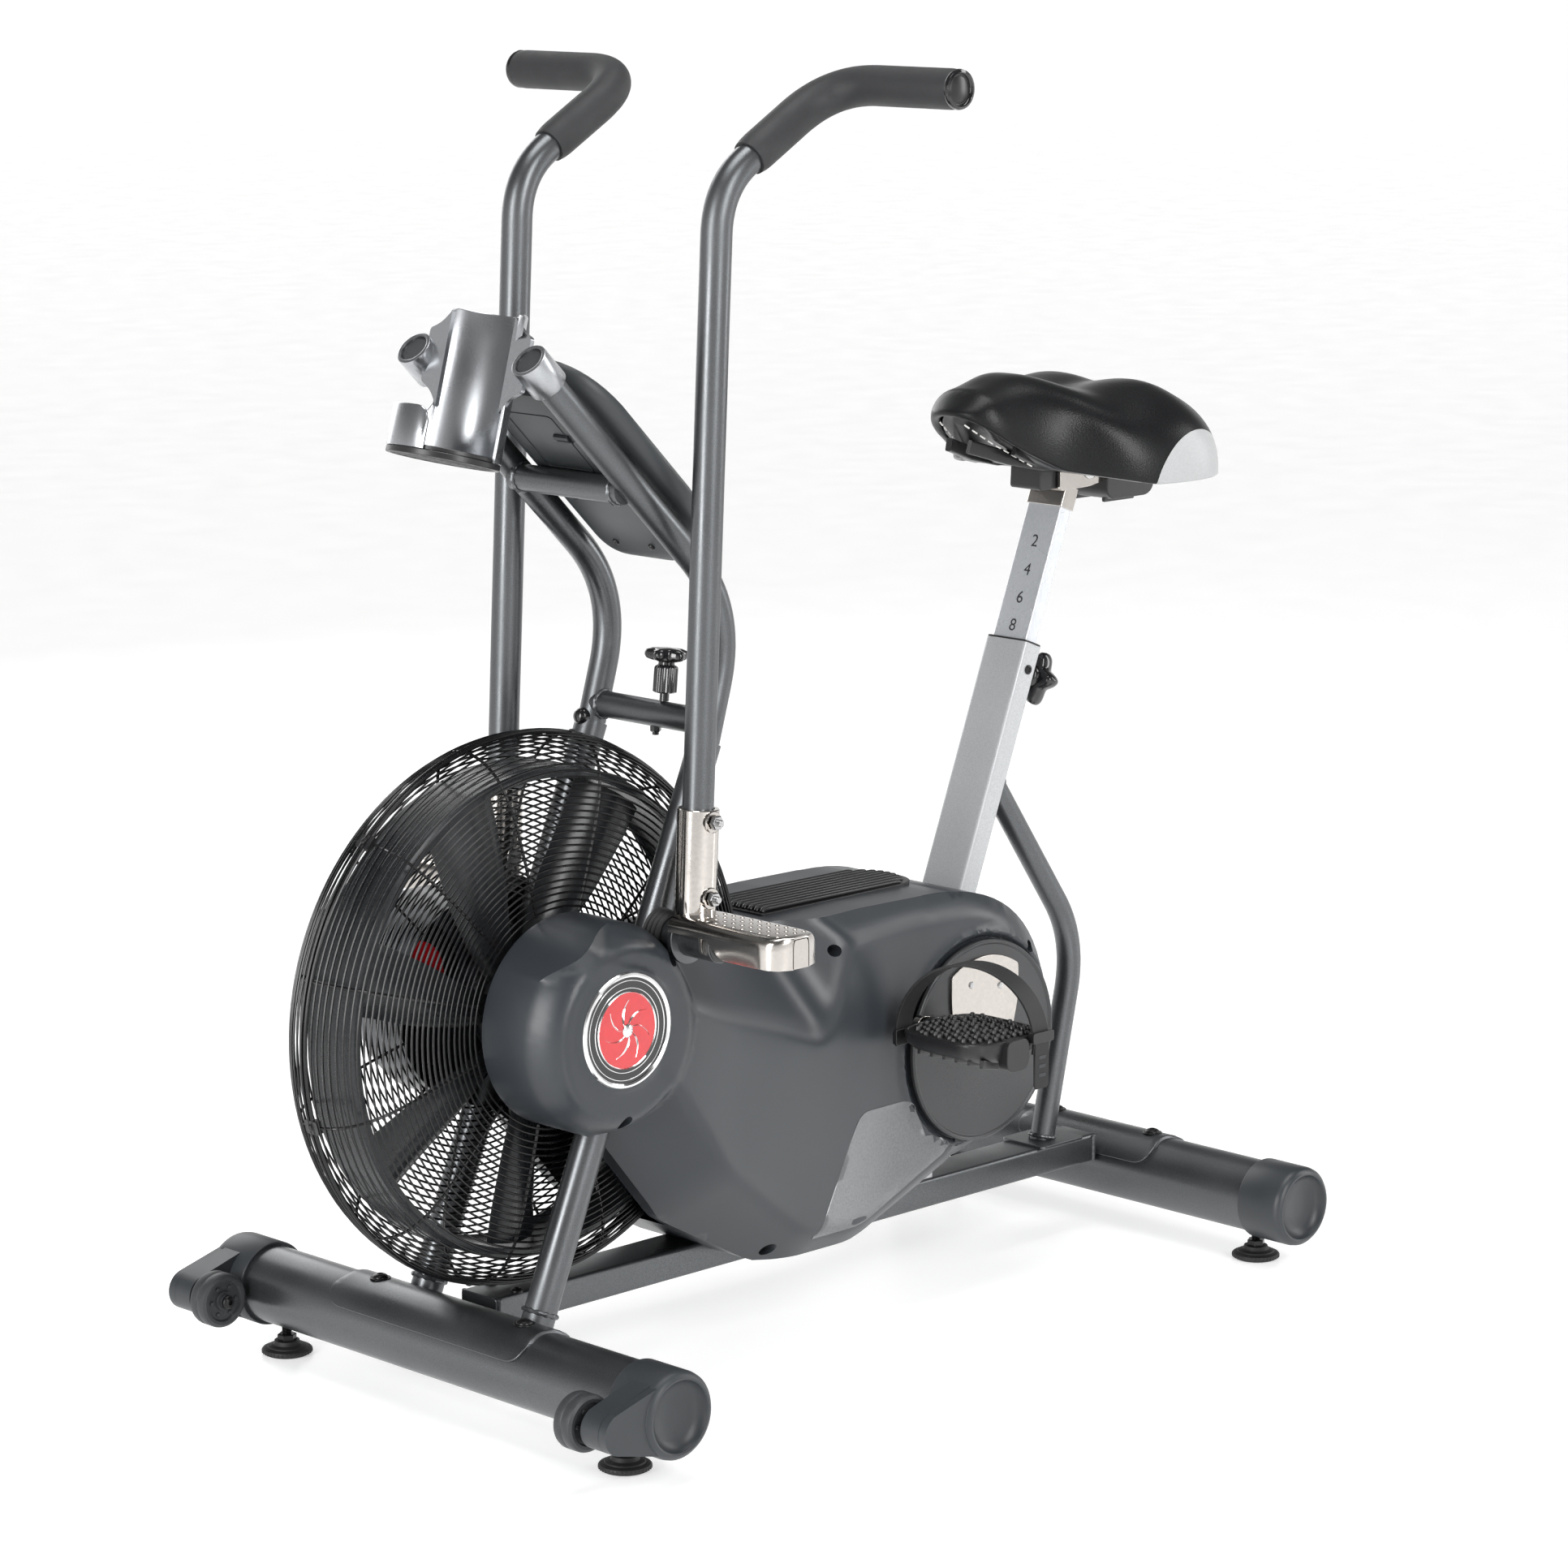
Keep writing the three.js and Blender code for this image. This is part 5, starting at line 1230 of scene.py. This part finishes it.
tube = Shape()
hollow_bar(tube, bar_section(13, 28, 4), bar_section(11, 26, 2), -400, 0)
tube.lathe([(12.2, -24), (23, -24), (23, 24), (12.2, 24)], (CX, 0, CZ), ACROSS, closed=True)
tube.prism([(CX - 22, 105.3), (CX + 22, 105.3), (CX + 18, 262), (CX - 18, 262)], -22, 22)
tube.paint = 1
tube.lathe([(0, 0), (5.0, 0), (5.0, 0.9), (4.0, 1.5), (2.4, 1.5), (2.2, 0.4), (0, 0.4)], on_seat(-27, -1, 28),
        ACROSS, 28)
tube.form("seat_tube", "frame", [SILVER_PAINT, DARK_BOLT], "seat_tube_paint", bevel=0.4, angle=60)

bushing = Shape()
hollow_bar(bushing, bar_section(10.6, 25.6, 2.4), bar_section(8.7, 23.7, 0.6), -44, 0.2)
outer, crest, inner = bar_section(12.7, 27.7, 3.8), bar_section(11.8, 26.8, 3.4), bar_section(8.9, 23.4, 1.4)
lip = [(0.35, outer), (1.4, outer), (2.0, crest), (2.0, inner), (0.35, inner), (0.35, outer)]
bushing.loft(seat_rings(lip), capped=False)
bushing.form("post_bushing", "frame", [BLACK], "black_plastic")

post = Shape()
post.loft(seat_rings([(a, bar_section(8.5, 23, 1.6)) for a in (-205, 152)]))
post.form("seat_post", "seat", [ZINC], "post_metal", bevel=0.4, angle=60)

for number, along in (("2", 97), ("4", 66), ("6", 36), ("8", 6)):
    mark = bpy.data.curves.new("post_mark_" + number, "FONT")
    mark.body, mark.size, mark.extrude = number, 0.0185, 0.00008
    mark.align_x, mark.align_y = "CENTER", "BOTTOM"
    mark.materials.append(INK)
    o = bpy.data.objects.new("post_mark_" + number, mark)
    scene.collection.objects.link(o)
    x, y, z = (on_seat(along, 8.56) + Vector((SHIFT, 0, 0))) / 1000
    o.matrix_world = Matrix(((0, -LEAN_X, LEAN_Z, x), (1, 0, 0, y), (0, LEAN_Z, LEAN_X, z), (0, 0, 0, 1)))
    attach(o, "seat")

seat_knob = Shape()
hub = on_seat(-28, -8.8)
ku, kv, kw = basis(SEAT_AWAY)
seat_knob.lathe([(0, 0), (5.9, 0), (5.9, 20), (12.5, 20.6), (14, 22), (14, 28), (0, 28)], hub, SEAT_AWAY, 36)
seat_knob.loft([lobed(28.8 + grow, 9.5, 5, depth, hub, (ku, kv, kw), 100, 0.8) for depth, grow in (
    (27, -7), (28, -2.5), (30, -0.4), (35, 0.6), (40, 0.4), (43.5, -1.2), (45.6, -4), (46, -7), (45.2, -9.5),
    (42, -10.2), (38, -10.6))])
for a in [TAU * (i + 0.5) / 5 for i in range(5)]:
    seat_knob.tube([hub + kw * 41 + (ku * math.cos(a) + kv * math.sin(a)) * r for r in (4, 10, 17)], 2.6, 12)
seat_knob.lathe([(0, 36), (6.5, 36), (6.5, 42.5), (5.4, 43.6), (0, 43.9)], hub, SEAT_AWAY, 28)
seat_knob.form("seat_knob", "seat_knob", [GLOSS_BLACK], "black_plastic", sharp=48)

clamp = Shape()
clamp.loft(seat_rings([(a, bar_section(10.5, 24.5, 2.4)) for a in (146, 170)]))
side_plate = [(-826, 806), (-826, 842), (-892, 842), (-912, 832), (-905, 812), (-872, 807)]
for s in (1, -1):
    clamp.prism(filleted(side_plate, [5, 3, 3, 6, 10, 6]), s * 22.5, s * 26.5)
clamp.prism(rect(-828, 808, -872, 826, 3), -24, 24)
clamp.rod(4, -32.5, 32.5, CLAMP_BOLT, ACROSS, 20)
clamp.paint = 1
for s in (1, -1):
    clamp.lathe([(4.2, 26.4), (11, 26.4), (11.3, 27.4), (10.6, 28.2), (4.2, 28.2)], CLAMP_BOLT, (0, s, 0), 36,
            closed=True)
    clamp.hex_head((CLAMP_BOLT[0], s * 27.6, CLAMP_BOLT[2]), (0, s, 0), 7)
clamp.form("saddle_clamp", "seat", [CHROME, BOLT], "chrome", bevel=0.8, segments=3, angle=45)

bracket = Shape()
bracket.prism(filleted([(-800, 808), (-802, 842), (-830, 846), (-830, 808)], [5, 4, 3, 3]), -21, 21)
block = [(-892, 798), (-892, 846), (-950, 844), (-968, 836), (-966, 798), (-956, 791), (-900, 791)]
bracket.prism(filleted(block, [4, 3, 3, 5, 8, 6, 4]), -33, 33)
bracket.prism(filleted([(-815, 829), (-815, 846), (-900, 846), (-900, 829)], 3), -31, 31)
for y in (-20, 20):
    bracket.prism(rect(-900, 787, -948, 793, 2), y - 2, y + 2)
bracket.done("saddle_bracket", "seat", [BLACK], "black_plastic", bevel=1.2, segments=3, angle=40)


# ------------------------------------------------------------------ saddle
def bezier(a, b, c, d, n):
    a, b, c, d = (Vector(q) for q in (a, b, c, d))
    return [a * (1 - t) ** 3 + b * 3 * t * (1 - t) ** 2 + c * 3 * t * t * (1 - t) + d * t ** 3
            for t in [i / n for i in range(n)]]


def saddle_plan():
    """The outline from above: nose, flank, wide rear corner and tail, and the same mirrored."""
    half = bezier((-683, 0), (-683, 24), (-694, 42), (-722, 52), 14)
    half += bezier((-722, 52), (-752, 61), (-774, 72), (-798, 98), 14)
    half += bezier((-798, 98), (-822, 126), (-850, 149), (-906, 150), 14)
    half += bezier((-906, 150), (-952, 150), (-974, 118), (-972, 70), 12)
    half += bezier((-972, 70), (-971, 40), (-964, 26), (-963, 0), 8)
    return half + [Vector((-963, 0))] + [Vector((q.x, -q.y)) for q in half[:0:-1]]


PLAN = saddle_plan()
TOP_LINE = [(-680, 905), (-710, 920), (-770, 931), (-842, 914), (-900, 917), (-944, 908), (-975, 884)]
HEM_LINE = [(-682, 897), (-720, 872), (-778, 839), (-852, 824), (-975, 826)]
ROUNDING, CROWN = 2.7, 1 / 2.5


def spine_of(q):
    """The nearest point of the saddle's middle line, which stops short of both ends."""
    return Vector((max(-918.0, min(-724.0, q.x)), 0))


def along_saddle(x, stations, ease):
    """A height through stations given from the nose to the tail. ease shapes each stretch."""
    if x >= stations[0][0]:
        return stations[0][1]
    for (xa, za), (xb, zb) in zip(stations, stations[1:]):
        if x >= xb:
            return za + (zb - za) * ease((xa - x) / (xa - xb))
    return stations[-1][1]


def hem_height(x):
    return along_saddle(x, HEM_LINE, lambda t: t)


def saddle_top(x, y):
    z = along_saddle(x, TOP_LINE, lambda t: t * t * (3 - 2 * t))
    z += 6 * math.exp(-((x + 900) / 50) ** 2 - ((abs(y) - 78) / 48) ** 2)
    return z - 4 * math.exp(-(y / 24) ** 2) * step_down(x, -820, 14)


def crown(q, edge):
    """Height of the saddle at a point on the way out to a point of its edge."""
    spine = spine_of(edge)
    f = min(1.0, (q - spine).length / (edge - spine).length)
    low = hem_height(edge.x)
    return low + (saddle_top(q.x, q.y) - low) * max(0.0, 1 - f ** ROUNDING) ** CROWN


def edge_beyond(q):
    """Where the line from the middle line through a point meets the outline, or None on the middle line."""
    spine = spine_of(q)
    way = q - spine
    if way.length < 1e-4:
        return None
    way.normalize()
    hits = []
    for a, b in zip(PLAN, PLAN[1:] + PLAN[:1]):
        side, gap = b - a, a - spine
        across = way.x * side.y - way.y * side.x
        if abs(across) > 1e-9 and -1e-6 <= (gap.x * way.y - gap.y * way.x) / across <= 1 + 1e-6:
            hits.append((gap.x * side.y - gap.y * side.x) / across)
    return spine + way * min(t for t in hits if t > 0)


def tucked(inward, drop):
    """A ring under the hem, moved in from the outline and down from the hem line."""
    places = [(edge + (spine_of(edge) - edge).normalized() * inward, edge) for edge in PLAN]
    return [(q.x, q.y, hem_height(edge.x) - drop) for q, edge in places]


def saddle_cover():
    """The padded top in rings from its edge, the hem rolled under it, and a filled middle."""
    rows = []
    for f in (0.55, 0.62, 0.69, 0.75, 0.81, 0.86, 0.90, 0.935, 0.962, 0.982, 0.994, 1.0):
        places = [(spine_of(edge).lerp(edge, f), edge) for edge in PLAN]
        rows.append([(q.x, q.y, crown(q, edge)) for q, edge in places])
    rows += [tucked(*hem) for hem in (
        (0.6, 2.0), (2.2, 3.4), (5.0, 3.8), (8.6, 3.0), (10.5, 0.6), (11.5, -5.0), (14, -9.0))]
    n = len(PLAN)
    verts = [q for row in rows for q in row]
    numbers = [range(i * n, i * n + n) for i in range(len(rows))]
    faces = [face for a, b in zip(numbers, numbers[1:]) for face in ribbon(a, b)] + [tuple(numbers[-1])]
    points, tris = flat_mesh([[(x, y) for x, y, z in rows[0]]])
    filled = len(verts) - n
    for x, y in points[n:]:
        q = Vector((x, y))
        edge = edge_beyond(q)
        verts.append((x, y, crown(q, edge) if edge else saddle_top(x, y)))
    faces += [tuple(i if i < n else i + filled for i in tri) for tri in tris]
    pad = Shape()
    pad.put(verts, faces)
    return pad.done("saddle_cover", "seat", [LEATHER], "saddle_leather", "saddle", subdivide=1)


saddle = saddle_cover()

under = Shape()
shell = [tucked(inward, 1.5 + lift) for inward, lift in ((12.5, 0), (15, 1.5), (24, 2.1))]
under.loft([[(x, y, z + 8) for x, y, z in shell[0]]] + shell)
for s in (1, -1):
    rail = [(-700, 14 * s, 862), (-745, 26 * s, 848), (-790, 30 * s, 838), (-824, 30 * s, 836)]
    under.tube(rail, 1, section=bar_section(7, 3.4, 2, 3), up=UP)
    rail = [(-735, 44 * s, 858), (-770, 40 * s, 844), (-812, 33 * s, 836)]
    under.tube(rail, 1, section=bar_section(5, 2.6, 1.6, 3), up=UP)
    spring = [(13, 0), (19, -14), (19, -17), (13.5, -17), (10, -3)]
    under.lathe(spring, (-792, 50 * s, 846), (0, 0, -1), 32, closed=True)
under.done("saddle_pan", "seat", [BLACK], "black_plastic", sharp=45)

stitches = Shape()
for s in (1, -1):
    for i in range(9):
        ends = [(x - 9 * i, s * (y + 2.6 * i)) for x, y in ((-690, 17), (-695.4, 18.6))]
        stitches.tube([(x, y, hem_height(x) - 6.5) for x, y in ends], 0.9, 8)
stitches.done("saddle_stitches", "seat", [THREAD], "saddle_leather")


# ------------------------------------------------------------------ studio
def area_light(name, place, target, width, height, power):
    data = bpy.data.lights.new(name, "AREA")
    data.shape = "RECTANGLE"
    data.size, data.size_y, data.energy = width, height, power
    o = bpy.data.objects.new(name, data)
    scene.collection.objects.link(o)
    o.location = place
    o.rotation_euler = (Vector(target) - Vector(place)).to_track_quat("-Z", "Y").to_euler()


floor = finish_of("floor", (0.80, 0.80, 0.80), 0.22, spread=0.01, grain=3, depth=0.0, rough_spread=0.02,
                  specular=0.35)
glow = floor.node_tree.nodes["Principled BSDF"].inputs
glow["Emission Color"].default_value = (1, 1, 1, 1)
glow["Emission Strength"].default_value = 0.5
HALF, FLOOR_Z = 80, -0.0004
corners = ((-HALF, -HALF), (HALF, -HALF), (HALF, HALF), (-HALF, HALF))
mesh = bpy.data.meshes.new("floor")
mesh.from_pydata([(x, y, FLOOR_Z) for x, y in corners], [], [(0, 1, 2, 3)])
mesh.materials.append(floor)
ground = bpy.data.objects.new("floor", mesh)
scene.collection.objects.link(ground)

area_light("key", (0.6, 3.9, 2.3), (-0.1, 0, 0.55), 1.2, 2.8, 105)
area_light("front", (3.9, 0.3, 1.5), (0, 0, 0.4), 1.1, 2.6, 105)
area_light("rear", (-3.4, 2.2, 1.9), (0, 0, 0.6), 0.9, 3.0, 48)
area_light("far", (-0.8, -3.4, 2.0), (0, 0, 0.7), 2.4, 2.4, 46)
area_light("top", (0.0, 0.2, 3.7), (0, 0, 0), 2.6, 1.4, 60)

# The surroundings are white at the horizon and darken upward, so that shiny metal has something to show.
world = bpy.data.worlds.new("studio")
scene.world = world
world.use_nodes = True
sky = world.node_tree
around = node_of(sky, "ShaderNodeTexCoord").outputs["Generated"]
height = node_of(sky, "ShaderNodeSeparateXYZ", around).outputs["Z"]
shade = remap(sky, height, 0.10, 0.42, 1.0, 0.16)
background = sky.nodes["Background"].inputs
sky.links.new(node_of(sky, "ShaderNodeCombineXYZ", shade, shade, shade).outputs[0], background["Color"])
background["Strength"].default_value = 1.0

camera = bpy.data.objects.new("camera", bpy.data.cameras.new("camera"))
scene.collection.objects.link(camera)
camera.location = (3.2661, 3.3361, 1.4551)
camera.rotation_euler = (Vector((-0.0467, 0, 0.5448)) - camera.location).to_track_quat("-Z", "Y").to_euler()
camera.data.lens = 110.37
camera.data.sensor_width = 36
camera.data.clip_end = 400
scene.camera = camera
scene.view_settings.view_transform = "Standard"

bpy.context.view_layer.update()
